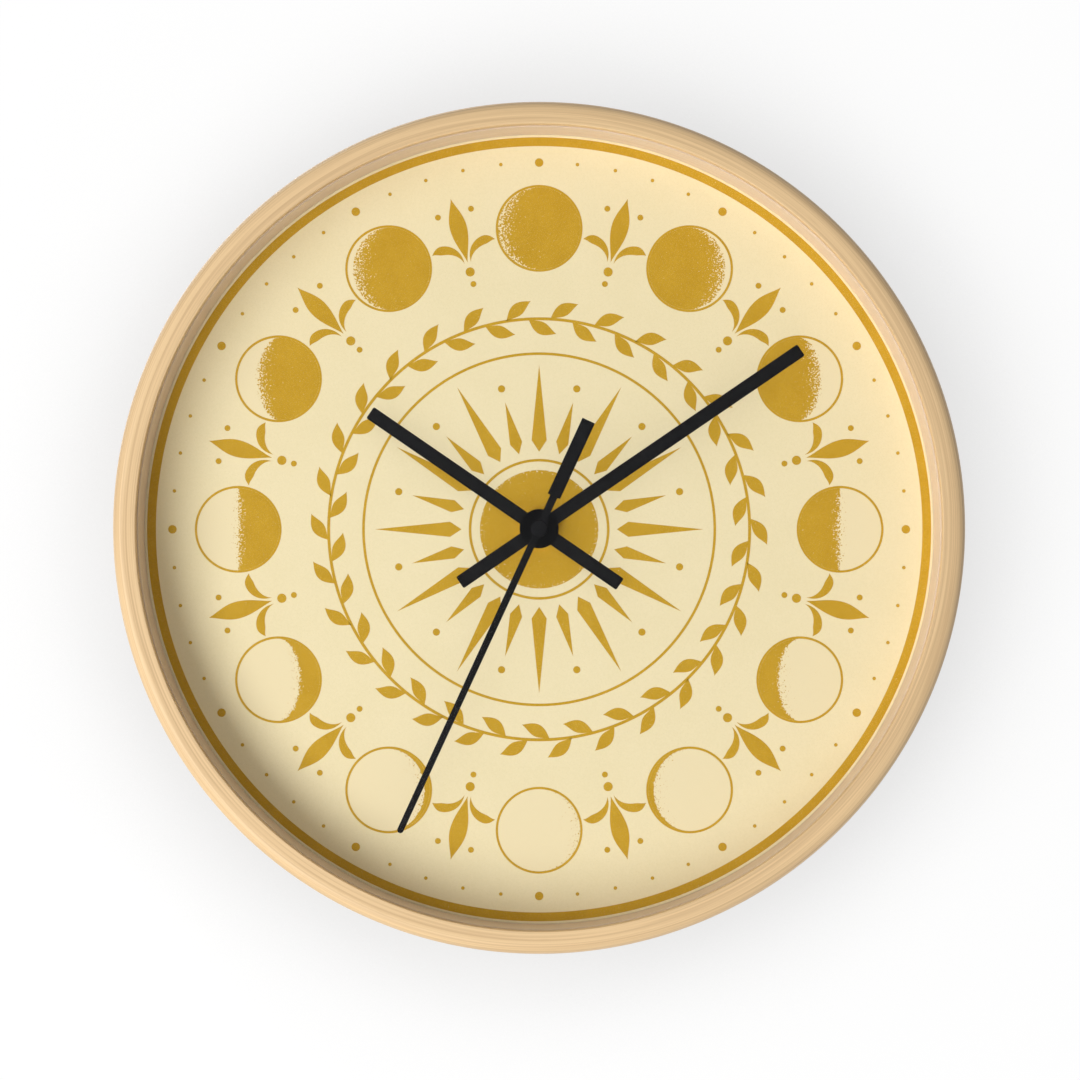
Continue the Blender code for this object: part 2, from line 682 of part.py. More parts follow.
def hanger_bracket():
    """A strap clamped under the movement's nut, stepped back to the wall above the case for the nail."""
    front = HANGER_REAR + HANGER_THICKNESS / 2
    rear = KNOB_REAR + HANGER_THICKNESS / 2
    step = HANGER_RISE
    top = HOOK_TO_AXIS + HANGER_TOP_MARGIN
    path = [(-HANGER_TAIL, front)]
    path += arc((step - HANGER_BEND, front - HANGER_BEND), HANGER_BEND, 90, 0, CORNER_STEPS)
    path += arc((step + HANGER_BEND, rear + HANGER_BEND), HANGER_BEND, 180, 270, CORNER_STEPS)
    path += [(top, rear)]
    half = HANGER_WIDTH / 2
    strap = slab("hanger_bracket", [band(path, HANGER_THICKNESS)], -half, half)
    stand_radially(strap, 90)
    cut(strap, tube("bushing_hole", BUSHING_HOLE, 0, HANGER_REAR - OVERCUT, HANGER_FRONT + OVERCUT))
    cut(strap, keyhole())
    cut(strap, corner_trim())
    finish(strap, "steel")


def keyhole():
    """A round hole for the nail's head, and the slot above it that the nail's shank slides up into."""
    radius = NAIL_SLOT_RADIUS
    low_centre = HOOK_TO_AXIS - NAIL_SLOT_LENGTH
    spread = math.degrees(math.asin(radius / NAIL_HEAD_RADIUS))
    outline = arc((0, low_centre), NAIL_HEAD_RADIUS, 90 + spread, 450 - spread, 2 * HALF_TURN_STEPS)
    outline += arc((0, HOOK_TO_AXIS), radius, 0, 180, HALF_TURN_STEPS)
    return slab("keyhole", [outline], -OVERCUT, HANGER_REAR - OVERCUT)


def corner_trim():
    """What is cut away outside the strap's two rounded upper corners."""
    half = HANGER_WIDTH / 2
    top = HOOK_TO_AXIS + HANGER_TOP_MARGIN
    outer = rounded_rectangle(-half - OVERCUT, half + OVERCUT, top - HANGER_CORNER, top + OVERCUT, 0)
    inner = rounded_rectangle(-half, half, top - 2 * HANGER_CORNER, top, HANGER_CORNER)
    trim = slab("corner_trim", [outer], -OVERCUT, HANGER_REAR - OVERCUT)
    cut(trim, slab("kept_corner", [inner], -2 * OVERCUT, HANGER_REAR))
    return trim


def rubber_washer():
    finish(tube("rubber_washer", RUBBER_RADIUS, BUSHING_HOLE, RUBBER_REAR, RUBBER_FRONT), "rubber")


def dial_washer():
    finish(tube("dial_washer", WASHER_RADIUS, BUSHING_HOLE, WASHER_REAR, WASHER_FRONT), "brass")


def shaft_nut():
    """A thin hexagon nut on the bushing."""
    corner_radius = NUT_ACROSS_FLATS / math.sqrt(3)
    nut = slab("shaft_nut", [circle(corner_radius, 6), circle(BUSHING_HOLE)], NUT_REAR, NUT_FRONT)
    finish(nut, "brass")


# The movement's mouldings

CIRCUIT_MIDDLE = (CIRCUIT_LEFT + CIRCUIT_RIGHT) / 2
CIRCUIT_BOTTOM = CHAMBER_FLOOR + CLEARANCE
UPPER_POST_Y = CIRCUIT_TOP - POST_RADIUS - 2 * CLEARANCE
LOWER_POST_Y = CIRCUIT_BOTTOM + CONTACT_THICKNESS + POST_RADIUS + 2 * CLEARANCE
CIRCUIT_POSTS = [(CIRCUIT_MIDDLE, UPPER_POST_Y), (CIRCUIT_MIDDLE, LOWER_POST_Y)]
SNAP_CATCH_LOW = COVER_FRONT + SNAP_LENGTH - SNAP_CATCH_HEIGHT


def movement_case():
    """The front moulding: the gear chamber, the cell's bay below it and the threaded bushing in front."""
    outline = rounded_rectangle(-CASE_HALF_WIDTH, CASE_HALF_WIDTH, CASE_BOTTOM, CASE_TOP, CASE_CORNER)
    case = slab("movement_case", [outline], CASE_REAR, CASE_FRONT)
    inside = rounded_rectangle(
        -INNER_HALF_WIDTH,
        INNER_HALF_WIDTH,
        CHAMBER_FLOOR,
        CHAMBER_TOP,
        (0, 0, CASE_CORNER - CASE_WALL, CASE_CORNER - CASE_WALL),
    )
    cut(case, slab("chamber", [inside], CASE_REAR - OVERCUT, CHAMBER_FRONT))
    limits = (-INNER_HALF_WIDTH, INNER_HALF_WIDTH, BAY_BOTTOM, BAY_TOP)
    cut(case, block("bay", *limits, CASE_REAR - OVERCUT, CHAMBER_FRONT))
    reach = CASE_HALF_WIDTH + OVERCUT
    seat = COVER_FRONT + CLEARANCE
    limits = (-reach, reach, CHAMBER_FLOOR, CASE_TOP + OVERCUT)
    cut(case, block("cover_seat", *limits, CASE_REAR - OVERCUT, seat))
    join(case, rod("bushing", BUSHING_RADIUS, CASE_FRONT - CASE_WALL / 2, BUSHING_END))
    cut(case, rod("bore", BUSHING_BORE, CHAMBER_FRONT - OVERCUT, BUSHING_END + OVERCUT))
    add_case_posts(case)
    add_pivot_holes(case)
    add_case_openings(case)
    finish(case, "black_plastic")


def add_case_posts(case):
    """Posts from the front wall: stepped ones for the bearing plate, plain ones for motor and circuit."""
    root = CHAMBER_FRONT + CASE_WALL / 2
    for x, y in PLATE_POSTS:
        tip = PLATE_REAR + CLEARANCE
        shoulder = PLATE_FRONT + CLEARANCE
        profile = [
            (0, root),
            (POST_RADIUS, root),
            (POST_RADIUS, shoulder),
            (PEG_RADIUS, shoulder),
            (PEG_RADIUS, tip),
            (0, tip),
        ]
        join(case, moved(turned("plate_post", profile, PIVOT_SEGMENTS), x, y))
    for x, y in STATOR_POSTS:
        post = rod("core_post", POST_RADIUS, CORE_FRONT + CLEARANCE, root, PIVOT_SEGMENTS)
        join(case, moved(post, x, y))
    for x, y in CIRCUIT_POSTS:
        post = rod("circuit_post", POST_RADIUS, CIRCUIT_FRONT + CLEARANCE, root, PIVOT_SEGMENTS)
        join(case, moved(post, x, y))


def add_pivot_holes(case):
    """Blind holes in the front wall for the motion wheel's and the setting shaft's front pivots."""
    low = CHAMBER_FRONT - OVERCUT
    for x, y in (MOTION_AT, KNOB_AT):
        hole = rod("pivot_hole", PIVOT_HOLE, low, CHAMBER_FRONT + PIVOT_DEPTH, PIVOT_SEGMENTS)
        cut(case, moved(hole, x, y))


def add_case_openings(case):
    """Windows for the cover's snaps, slots for the contact strips and a finger notch at the cell."""
    half = SNAP_WIDTH / 2 + CLEARANCE
    low = SNAP_CATCH_LOW - CLEARANCE
    high = SNAP_CATCH_LOW + SNAP_CATCH_HEIGHT + CLEARANCE
    for side in (-1, 1):
        x = side * SNAP_SIDE
        limits = (x - half, x + half, CHAMBER_TOP - OVERCUT, CASE_TOP + OVERCUT)
        cut(case, block("snap_window", *limits, low, high))
        x = side * SNAP_SIDE_LOW
        limits = (x - half, x + half, BAY_TOP - OVERCUT, CHAMBER_FLOOR + OVERCUT)
        cut(case, block("snap_window", *limits, low, high))
        inner = INNER_HALF_WIDTH - CONTACT_THICKNESS - CONTACT_ROOM - CLEARANCE
        left, right = sorted((side * inner, side * INNER_HALF_WIDTH))
        limits = (left, right, BAY_TOP - OVERCUT, CHAMBER_FLOOR + OVERCUT)
        cut(case, block("strip_slot", *limits, CONTACT_REAR - CLEARANCE, CONTACT_FRONT + CLEARANCE))
    notch = rod("finger_notch", FINGER_NOTCH_RADIUS, -CASE_WALL, CASE_WALL)
    cut(case, posed(notch, (90, 0, 0), (0, CASE_BOTTOM + CASE_WALL / 2, CASE_REAR)))


def movement_cover():
    """The rear moulding over the gear chamber: bearings and posts inside, and snaps along two edges."""
    outline = rounded_rectangle(
        -CASE_HALF_WIDTH,
        CASE_HALF_WIDTH,
        CHAMBER_FLOOR + CLEARANCE,
        CASE_TOP,
        (0, 0, CASE_CORNER, CASE_CORNER),
    )
    cover = slab("movement_cover", [outline], CASE_REAR, COVER_FRONT)
    root = COVER_FRONT - COVER_THICKNESS / 2
    join(cover, rod("second_boss", BOSS_RADIUS, root, COVER_FRONT + BOSS_HEIGHT, PIVOT_SEGMENTS))
    for x, y in PLATE_POSTS:
        post = rod("plate_post", POST_RADIUS, root, PLATE_REAR - CLEARANCE, PIVOT_SEGMENTS)
        join(cover, moved(post, x, y))
    for x, y in STATOR_POSTS:
        post = rod("stator_post", POST_RADIUS, root, STATOR_REAR - CLEARANCE, PIVOT_SEGMENTS)
        join(cover, moved(post, x, y))
    for x, y in CIRCUIT_POSTS:
        post = rod("circuit_post", POST_RADIUS, root, CIRCUIT_REAR - CLEARANCE, PIVOT_SEGMENTS)
        join(cover, moved(post, x, y))
    for side in (-1, 1):
        join(cover, snap_hook(side * SNAP_SIDE, CHAMBER_TOP - CLEARANCE, 90))
        join(cover, snap_hook(side * SNAP_SIDE_LOW, CHAMBER_FLOOR + CLEARANCE, -90))
    hole_end = COVER_FRONT + BOSS_HEIGHT + OVERCUT
    for x, y in ((0, 0), INTERMEDIATE_AT, ROTOR_AT, THIRD_AT):
        hole = rod("pivot_hole", PIVOT_HOLE, COVER_FRONT - PIVOT_DEPTH, hole_end, PIVOT_SEGMENTS)
        cut(cover, moved(hole, x, y))
    cut(cover, moved(rod("knob_hole", KNOB_HOLE, CASE_REAR - OVERCUT, COVER_FRONT + OVERCUT), *KNOB_AT))
    finish(cover, "white_plastic")


def snap_hook(x, y, direction):
    """A tongue inside the case's wall, with a sloped catch that springs into the window there."""
    base = COVER_FRONT - COVER_THICKNESS / 2
    tip = COVER_FRONT + SNAP_LENGTH
    outline = [
        (-SNAP_THICKNESS, base),
        (0, base),
        (0, SNAP_CATCH_LOW),
        (SNAP_CATCH, SNAP_CATCH_LOW),
        (0, tip),
        (-SNAP_THICKNESS, tip),
    ]
    hook = slab("snap_hook", [outline], -SNAP_WIDTH / 2, SNAP_WIDTH / 2)
    return stand_radially(hook, direction, (x, y, 0))


def middle_plate():
    """Carries the front pivots of the time train, and the rear pivot of the motion wheel."""
    loops = [rounded_rectangle(PLATE_LEFT, PLATE_RIGHT, PLATE_BOTTOM, PLATE_TOP, POST_RADIUS)]
    loops.append(circle(HOUR_TUBE_BORE))
    loops.append(circle(KNOB_HOLE, SMALL_SEGMENTS, KNOB_AT))
    for place in (INTERMEDIATE_AT, ROTOR_AT, THIRD_AT, MOTION_AT):
        loops.append(circle(PIVOT_HOLE, PIVOT_SEGMENTS, place))
    for place in PLATE_POSTS:
        loops.append(circle(PEG_RADIUS + CLEARANCE, PIVOT_SEGMENTS, place))
    finish(slab("middle_plate", loops, PLATE_REAR, PLATE_FRONT), "white_plastic")


# The going train, from the motor to the centre wheel

PIVOT_FLOOR = COVER_FRONT - PIVOT_DEPTH + CLEARANCE


def toothed(name, teeth, module, tooth_at, low, high):
    return slab(name, [gear_outline(teeth, module, tooth_at)], low, high)


def bore_out(piece, radius, low, high):
    cut(piece, rod("bore", radius, low - OVERCUT, high + OVERCUT))


def rotor():
    """The motor's magnet on a thin arbor, with a pinion behind it."""
    tooth_at = mating_tooth(ROTOR_DIRECTION, ROTOR_PINION_TEETH, INTERMEDIATE_TEETH, 0)
    low = INTERMEDIATE_REAR - PINION_OVERLAP
    pinion_front = INTERMEDIATE_FRONT + PINION_OVERLAP
    piece = toothed("rotor", ROTOR_PINION_TEETH, ROTOR_MODULE, tooth_at, low, pinion_front)
    join(piece, rod("magnet", MAGNET_RADIUS, MAGNET_REAR, MAGNET_FRONT))
    join(piece, rod("arbor", ARBOR_RADIUS, PIVOT_FLOOR, PLATE_FRONT - CLEARANCE, PIVOT_SEGMENTS))
    finish(moved(piece, *ROTOR_AT), "magnet")


def intermediate_wheel():
    limits = (INTERMEDIATE_REAR, INTERMEDIATE_FRONT)
    piece = toothed("intermediate_wheel", INTERMEDIATE_TEETH, ROTOR_MODULE, 0, *limits)
    tooth_at = mating_tooth(INTERMEDIATE_DIRECTION, INTERMEDIATE_PINION_TEETH, SECOND_TEETH, 0)
    low = INTERMEDIATE_FRONT - WHEEL_THICKNESS / 2
    high = SECOND_FRONT + PINION_OVERLAP
    join(piece, toothed("pinion", INTERMEDIATE_PINION_TEETH, SECOND_MODULE, tooth_at, low, high))
    join(piece, rod("arbor", ARBOR_RADIUS, PIVOT_FLOOR, PLATE_FRONT - CLEARANCE, PIVOT_SEGMENTS))
    finish(moved(piece, *INTERMEDIATE_AT), "white_plastic")


def second_wheel():
    """The centre arbor: it turns once a minute and runs right through the tubes to the second hand."""
    piece = toothed("second_wheel", SECOND_TEETH, SECOND_MODULE, 0, SECOND_REAR, SECOND_FRONT)
    low = SECOND_FRONT - WHEEL_THICKNESS / 2
    high = THIRD_FRONT + PINION_OVERLAP
    join(piece, toothed("pinion", SECOND_PINION_TEETH, THIRD_MODULE, 0, low, high))
    join(piece, rod("arbor", ARBOR_RADIUS, PIVOT_FLOOR, SECOND_ARBOR_END, PIVOT_SEGMENTS))
    finish(piece, "steel")


def third_wheel():
    tooth_at = mating_tooth(THIRD_DIRECTION, THIRD_TEETH, SECOND_PINION_TEETH, 0)
    piece = toothed("third_wheel", THIRD_TEETH, THIRD_MODULE, tooth_at, THIRD_REAR, THIRD_FRONT)
    tooth_at = mating_tooth(THIRD_DIRECTION, THIRD_PINION_TEETH, CENTRE_TEETH, 0)
    low = THIRD_FRONT - WHEEL_THICKNESS / 2
    high = CENTRE_FRONT + PINION_OVERLAP
    join(piece, toothed("pinion", THIRD_PINION_TEETH, CENTRE_MODULE, tooth_at, low, high))
    join(piece, rod("arbor", ARBOR_RADIUS, PIVOT_FLOOR, PLATE_FRONT - CLEARANCE, PIVOT_SEGMENTS))
    finish(moved(piece, *THIRD_AT), "white_plastic")


def centre_wheel():
    """Turns once an hour. It is gripped on the cannon's tube by friction, so that the hands can be set."""
    piece = toothed("centre_wheel", CENTRE_TEETH, CENTRE_MODULE, 0, CENTRE_REAR, CENTRE_FRONT)
    bore_out(piece, MINUTE_TUBE_RADIUS + CLEARANCE, CENTRE_REAR, CENTRE_FRONT)
    finish(piece, "white_plastic")


# The motion work behind the dial, from the cannon to the hour wheel

MOTION_TOOTH_AT = mating_tooth(MOTION_DIRECTION, MOTION_TEETH, CANNON_TEETH, 0)


def cannon_pinion():
    """The minute tube: a flange behind the centre wheel, a pinion in front and the hand at the far end."""
    low = MOTION_REAR - PINION_OVERLAP
    high = MOTION_FRONT + PINION_OVERLAP
    piece = toothed("cannon_pinion", CANNON_TEETH, CANNON_MODULE, 0, low, high)
    flanged = [
        (0, MINUTE_TUBE_END),
        (MINUTE_TUBE_RADIUS, MINUTE_TUBE_END),
        (MINUTE_TUBE_RADIUS, FLANGE_FRONT),
        (FLANGE_RADIUS, FLANGE_FRONT),
        (FLANGE_RADIUS, FLANGE_REAR),
        (0, FLANGE_REAR),
    ]
    join(piece, turned("flanged_shank", flanged))
    bore_out(piece, MINUTE_TUBE_BORE, FLANGE_REAR, MINUTE_TUBE_END)
    finish(piece, "brass")


def motion_wheel():
    piece = toothed("motion_wheel", MOTION_TEETH, CANNON_MODULE, MOTION_TOOTH_AT, MOTION_REAR, MOTION_FRONT)
    tooth_at = mating_tooth(MOTION_DIRECTION, MOTION_PINION_TEETH, HOUR_TEETH, 0)
    low = MOTION_FRONT - WHEEL_THICKNESS / 2
    high = HOUR_FRONT + PINION_OVERLAP
    join(piece, toothed("pinion", MOTION_PINION_TEETH, HOUR_MODULE, tooth_at, low, high))
    front_pivot = CHAMBER_FRONT + PIVOT_DEPTH - CLEARANCE
    join(piece, rod("arbor", ARBOR_RADIUS, PLATE_REAR + CLEARANCE, front_pivot, PIVOT_SEGMENTS))
    finish(moved(piece, *MOTION_AT), "white_plastic")


def hour_wheel():
    piece = toothed("hour_wheel", HOUR_TEETH, HOUR_MODULE, 0, HOUR_REAR, HOUR_FRONT)
    join(piece, rod("shank", HOUR_TUBE_RADIUS, HOUR_REAR + WHEEL_THICKNESS / 2, HOUR_TUBE_END))
    bore_out(piece, HOUR_TUBE_BORE, HOUR_REAR, HOUR_TUBE_END)
    finish(piece, "white_plastic")


def setting_knob():
    """A fluted knob behind the cover, on a long shaft whose gear turns the motion wheel."""
    tooth_at = mating_tooth(KNOB_DIRECTION, KNOB_TEETH, MOTION_TEETH, MOTION_TOOTH_AT)
    flutes = []
    for i in range(2 * KNOB_FLUTES):
        radius = KNOB_RADIUS - KNOB_FLUTE_DEPTH * (i % 2)
        flutes.append(polar(radius, 180 * i / KNOB_FLUTES))
    piece = slab("setting_knob", [flutes], KNOB_REAR, KNOB_FRONT)
    low = MOTION_REAR - PINION_OVERLAP
    high = MOTION_FRONT + PINION_OVERLAP
    join(piece, rod("shaft", KNOB_SHAFT_RADIUS, KNOB_REAR + KNOB_THICKNESS / 2, low + PINION_OVERLAP))
    join(piece, toothed("gear", KNOB_TEETH, CANNON_MODULE, tooth_at, low, high))
    front_pivot = CHAMBER_FRONT + PIVOT_DEPTH - CLEARANCE
    join(piece, rod("pivot", ARBOR_RADIUS, low + PINION_OVERLAP, front_pivot, PIVOT_SEGMENTS))
    finish(moved(piece, *KNOB_AT), "white_plastic")


# The stepping motor, the circuit and the cell


def stator():
    """A flat iron yoke: an eye round the rotor with two thin necks, and an arm to each end of the core."""
    x, y = ROTOR_AT
    arm_top = COIL_Y + CORE_WIDTH
    bar_top = COIL_Y - BOBBIN_FLANGE_RADIUS - 4 * CLEARANCE
    left_arm = [
        (STATOR_LEFT, bar_top - STATOR_BAR),
        (x - STATOR_HOLE_RADIUS, bar_top - STATOR_BAR),
        (x - STATOR_HOLE_RADIUS, bar_top),
        (STATOR_LEFT + STATOR_ARM, bar_top),
        (STATOR_LEFT + STATOR_ARM, arm_top),
        (STATOR_LEFT, arm_top),
    ]
    right_arm = rounded_rectangle(STATOR_RIGHT - STATOR_ARM, STATOR_RIGHT, y, arm_top, 0)
    yoke = slab("stator", [circle(STATOR_EYE_RADIUS, SMALL_SEGMENTS, (x, y))], STATOR_REAR, STATOR_FRONT)
    join(yoke, slab("left_arm", [left_arm], STATOR_REAR, STATOR_FRONT))
    join(yoke, slab("right_arm", [right_arm], STATOR_REAR, STATOR_FRONT))
    low = STATOR_REAR - OVERCUT
    high = STATOR_FRONT + OVERCUT
    cut(yoke, moved(rod("hole", STATOR_HOLE_RADIUS, low, high), x, y))
    for side in (-1, 1):
        inner = STATOR_HOLE_RADIUS + STATOR_NECK
        outer = STATOR_EYE_RADIUS + OVERCUT
        bottom, top = sorted((y + side * inner, y + side * outer))
        cut(yoke, block("notch", x - STATOR_NOTCH / 2, x + STATOR_NOTCH / 2, bottom, top, low, high))
    finish(yoke, "steel")


def coil_core():
    bottom = COIL_Y - CORE_WIDTH / 2
    top = COIL_Y + CORE_WIDTH / 2
    finish(block("coil_core", STATOR_LEFT, STATOR_RIGHT, bottom, top, CORE_REAR, CORE_FRONT), "steel")


BOBBIN_LEFT = STATOR_LEFT + STATOR_ARM + CLEARANCE
BOBBIN_RIGHT = STATOR_RIGHT - STATOR_ARM - CLEARANCE
CORE_HEIGHT = (CORE_REAR + CORE_FRONT) / 2


def laid_along_x(piece, y, height):
    """Lays a turned piece's axis along x, at a height above the wall."""
    return posed(piece, (0, 90, 0), (0, y, height))


def coil_bobbin():
    """A spool with a slot through it for the core."""
    left, right = BOBBIN_LEFT, BOBBIN_RIGHT
    profile = [
        (0, right),
        (BOBBIN_FLANGE_RADIUS, right),
        (BOBBIN_FLANGE_RADIUS, right - BOBBIN_FLANGE),
        (BOBBIN_HUB_RADIUS, right - BOBBIN_FLANGE),
        (BOBBIN_HUB_RADIUS, left + BOBBIN_FLANGE),
        (BOBBIN_FLANGE_RADIUS, left + BOBBIN_FLANGE),
        (BOBBIN_FLANGE_RADIUS, left),
        (0, left),
    ]
    spool = laid_along_x(turned("coil_bobbin", profile), COIL_Y, CORE_HEIGHT)
    half = CORE_WIDTH / 2 + CLEARANCE
    limits = (left - OVERCUT, right + OVERCUT, COIL_Y - half, COIL_Y + half)
    cut(spool, block("core_slot", *limits, CORE_REAR - CLEARANCE, CORE_FRONT + CLEARANCE))
    finish(spool, "white_plastic")


def coil_winding():
    """The packed turns of fine wire, as the one closed barrel that they form."""
    low = BOBBIN_LEFT + BOBBIN_FLANGE + CLEARANCE
    high = BOBBIN_RIGHT - BOBBIN_FLANGE - CLEARANCE
    radius = BOBBIN_FLANGE_RADIUS - WINDING_INSET
    winding = tube("coil_winding", radius, BOBBIN_HUB_RADIUS + CLEARANCE, low, high)
    finish(laid_along_x(winding, COIL_Y, CORE_HEIGHT), "copper")


def circuit_board():
    limits = (CIRCUIT_LEFT, CIRCUIT_RIGHT, CIRCUIT_BOTTOM, CIRCUIT_TOP)
    finish(block("circuit_board", *limits, CIRCUIT_REAR, CIRCUIT_FRONT), "circuit")


def quartz_crystal():
    """The small can that lies on the board, below the upper post."""
    can = rod("quartz_crystal", CRYSTAL_RADIUS, -CRYSTAL_LENGTH / 2, CRYSTAL_LENGTH / 2, PIVOT_SEGMENTS)
    y = UPPER_POST_Y - POST_RADIUS - 2 * CLEARANCE - CRYSTAL_LENGTH / 2
    height = CIRCUIT_FRONT + CLEARANCE + CRYSTAL_RADIUS
    finish(posed(can, (90, 0, 0), (CIRCUIT_MIDDLE, y, height)), "steel")


def chip_blob():
    """The drop of black resin over the circuit's chip, above the lower post."""
    low = CIRCUIT_FRONT + CLEARANCE
    profile = [(0, low + CHIP_HEIGHT)]
    for i in range(1, CORNER_STEPS + 1):
        lean = math.radians(90 * i / CORNER_STEPS)
        profile.append((CHIP_RADIUS * math.sin(lean), low + CHIP_HEIGHT * math.cos(lean)))
    profile.append((0, low))
    y = LOWER_POST_Y + POST_RADIUS + 2 * CLEARANCE + CHIP_RADIUS
    finish(moved(turned("chip_blob", profile), CIRCUIT_MIDDLE, y), "black_plastic")


def contact_plus():
    """A flat strip: it stands at the cell's nub and runs under the wheels to the circuit board."""
    x = INNER_HALF_WIDTH - CONTACT_ROOM - CONTACT_THICKNESS / 2
    y = CHAMBER_FLOOR + CLEARANCE + CONTACT_THICKNESS / 2
    path = [(x, BATTERY_Y - BATTERY_RADIUS), (x, y), (CIRCUIT_MIDDLE, y)]
    finish(slab("contact_plus", [band(path, CONTACT_THICKNESS)], CONTACT_REAR, CONTACT_FRONT), "steel")


def contact_minus():
    """A leaf spring bowed towards the cell's flat end, whose upper end stands on the circuit board."""
    x = CLEARANCE + CONTACT_THICKNESS / 2 - INNER_HALF_WIDTH
    path = [
        (x, BATTERY_Y - BATTERY_RADIUS),
        (x, BATTERY_Y - CONTACT_BOW_REACH),
        (x + CONTACT_BULGE, BATTERY_Y - CONTACT_BOW_FLAT),
        (x + CONTACT_BULGE, BATTERY_Y + CONTACT_BOW_FLAT),
        (x, BATTERY_Y + CONTACT_BOW_REACH),
        (x, CIRCUIT_BOTTOM + CIRCUIT_THICKNESS * 3),
    ]
    finish(slab("contact_minus", [band(path, CONTACT_THICKNESS)], CONTACT_REAR, CONTACT_FRONT), "steel")


def battery():
    """A plain AA cell, its nub to the right."""
    left = BATTERY_LEFT
    right = left + BATTERY_LENGTH
    shoulder = right - BATTERY_NUB_LENGTH
    profile = [
        (0, right),
        (BATTERY_NUB_RADIUS, right),
        (BATTERY_NUB_RADIUS, shoulder),
        (BATTERY_RADIUS - BATTERY_EDGE, shoulder),
        (BATTERY_RADIUS, shoulder - BATTERY_EDGE),
        (BATTERY_RADIUS, left + BATTERY_EDGE),
        (BATTERY_RADIUS - BATTERY_EDGE, left),
        (0, left),
    ]
    cell = laid_along_x(turned("battery", profile), 0, BATTERY_HEIGHT)
    finish(moved(cell, 0, BATTERY_Y), "cell")


# The hands


def bar_hand(name, tip, tail, low, high):
    """A flat bar with small round corners through a round hub, pointing at twelve."""
    half = HAND_WIDTH / 2
    inset = half - HAND_CORNER
    lean = math.degrees(math.asin(half / HUB_RADIUS))
    right_hub = arc((0, 0), HUB_RADIUS, lean - 90, 90 - lean, HALF_TURN_STEPS)
    left_hub = arc((0, 0), HUB_RADIUS, 90 + lean, 270 - lean, HALF_TURN_STEPS)
    outline = arc((inset, HAND_CORNER - tail), HAND_CORNER, -90, 0, CORNER_STEPS)
    outline += right_hub
    outline += arc((inset, tip - HAND_CORNER), HAND_CORNER, 0, 90, CORNER_STEPS)
    outline += arc((-inset, tip - HAND_CORNER), HAND_CORNER, 90, 180, CORNER_STEPS)
    outline += left_hub
    outline += arc((-inset, HAND_CORNER - tail), HAND_CORNER, 180, 270, CORNER_STEPS)
    return slab(name, [outline], low, high)


def set_to(hand, clockwise):
    hand.rotation_euler.z = -math.radians(clockwise)
    return hand


def hour_hand():
    """The shorter bar, with a collet behind it that grips the hour tube."""
    bore = HOUR_TUBE_RADIUS + CLEARANCE
    hand = bar_hand("hour_hand", HOUR_HAND_TIP, HOUR_HAND_TAIL, HOUR_HAND_REAR, HOUR_HAND_FRONT)
    join(hand, rod("collet", bore + COLLET_WALL, COLLET_REAR, HOUR_HAND_REAR + HAND_THICKNESS / 2))
    bore_out(hand, bore, COLLET_REAR, HOUR_HAND_FRONT)
    finish(set_to(hand, HOUR_HAND_ANGLE), "black_paint")


def minute_hand():
    limits = (MINUTE_HAND_REAR, MINUTE_HAND_FRONT)
    hand = bar_hand("minute_hand", MINUTE_HAND_TIP, MINUTE_HAND_TAIL, *limits)
    bore_out(hand, MINUTE_TUBE_RADIUS + CLEARANCE, *limits)
    finish(set_to(hand, MINUTE_HAND_ANGLE), "black_paint")


def second_hand():
    """A slim tapered needle with a broad tail, on a capped tube that is pushed over the arbor's end."""
    neck = SECOND_HAND_WIDTH / 2
    point = SECOND_HAND_TIP_WIDTH / 2
    broad = HAND_WIDTH / 2
    outline = [
        (-broad, -SECOND_HAND_TAIL),
        (broad, -SECOND_HAND_TAIL),
        (broad, -SECOND_HAND_NECK),
        (neck, -SECOND_HAND_NECK),
        (neck, 0),
    ]
    outline += arc((0, SECOND_HAND_TIP - point), point, 0, 180, 2 * CORNER_STEPS)
    outline += [(-neck, 0), (-neck, -SECOND_HAND_NECK), (-broad, -SECOND_HAND_NECK)]
    low = SECOND_HAND_REAR
    hand = slab("second_hand", [outline], low, low + SECOND_HAND_THICKNESS)
    join(hand, rod("cap", SECOND_CAP_RADIUS, SECOND_CAP_REAR, SECOND_CAP_FRONT))
    bore = ARBOR_RADIUS + CLEARANCE
    bore_end = SECOND_CAP_FRONT - SECOND_CAP_FACE
    cut(hand, rod("bore", bore, SECOND_CAP_REAR - OVERCUT, bore_end, PIVOT_SEGMENTS))
    finish(set_to(hand, SECOND_HAND_ANGLE), "black_paint")


# The whole clock

empty_scene()
parts = new_collection("moon_phase_wall_clock")
cutters = new_collection("cutters")
bench = bpy.data.objects.new("bench", None)
bench.location.z = -HOOK_TO_AXIS
bench.rotation_euler.x = math.radians(90)
parts.objects.link(bench)

wood_frame()
front_lens()
spacer_ring()
dial_sheet()
backing_board()
for number in range(CLIP_COUNT):
    board_clip(number)
    clip_screw(number)
hanger_bracket()
rubber_washer()
dial_washer()
shaft_nut()
movement_case()
movement_cover()
middle_plate()
rotor()
intermediate_wheel()
second_wheel()
third_wheel()
centre_wheel()
cannon_pinion()
motion_wheel()
hour_wheel()
setting_knob()
stator()
coil_core()
coil_bobbin()
coil_winding()
circuit_board()
quartz_crystal()
chip_blob()
contact_plus()
contact_minus()
battery()
hour_hand()
minute_hand()
second_hand()
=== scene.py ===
"""A round wall clock, dressed over its frame from the bamboo ring in to the cell and out to the hands."""

import json
import math

import bmesh
import bpy
from mathutils import Matrix, Vector

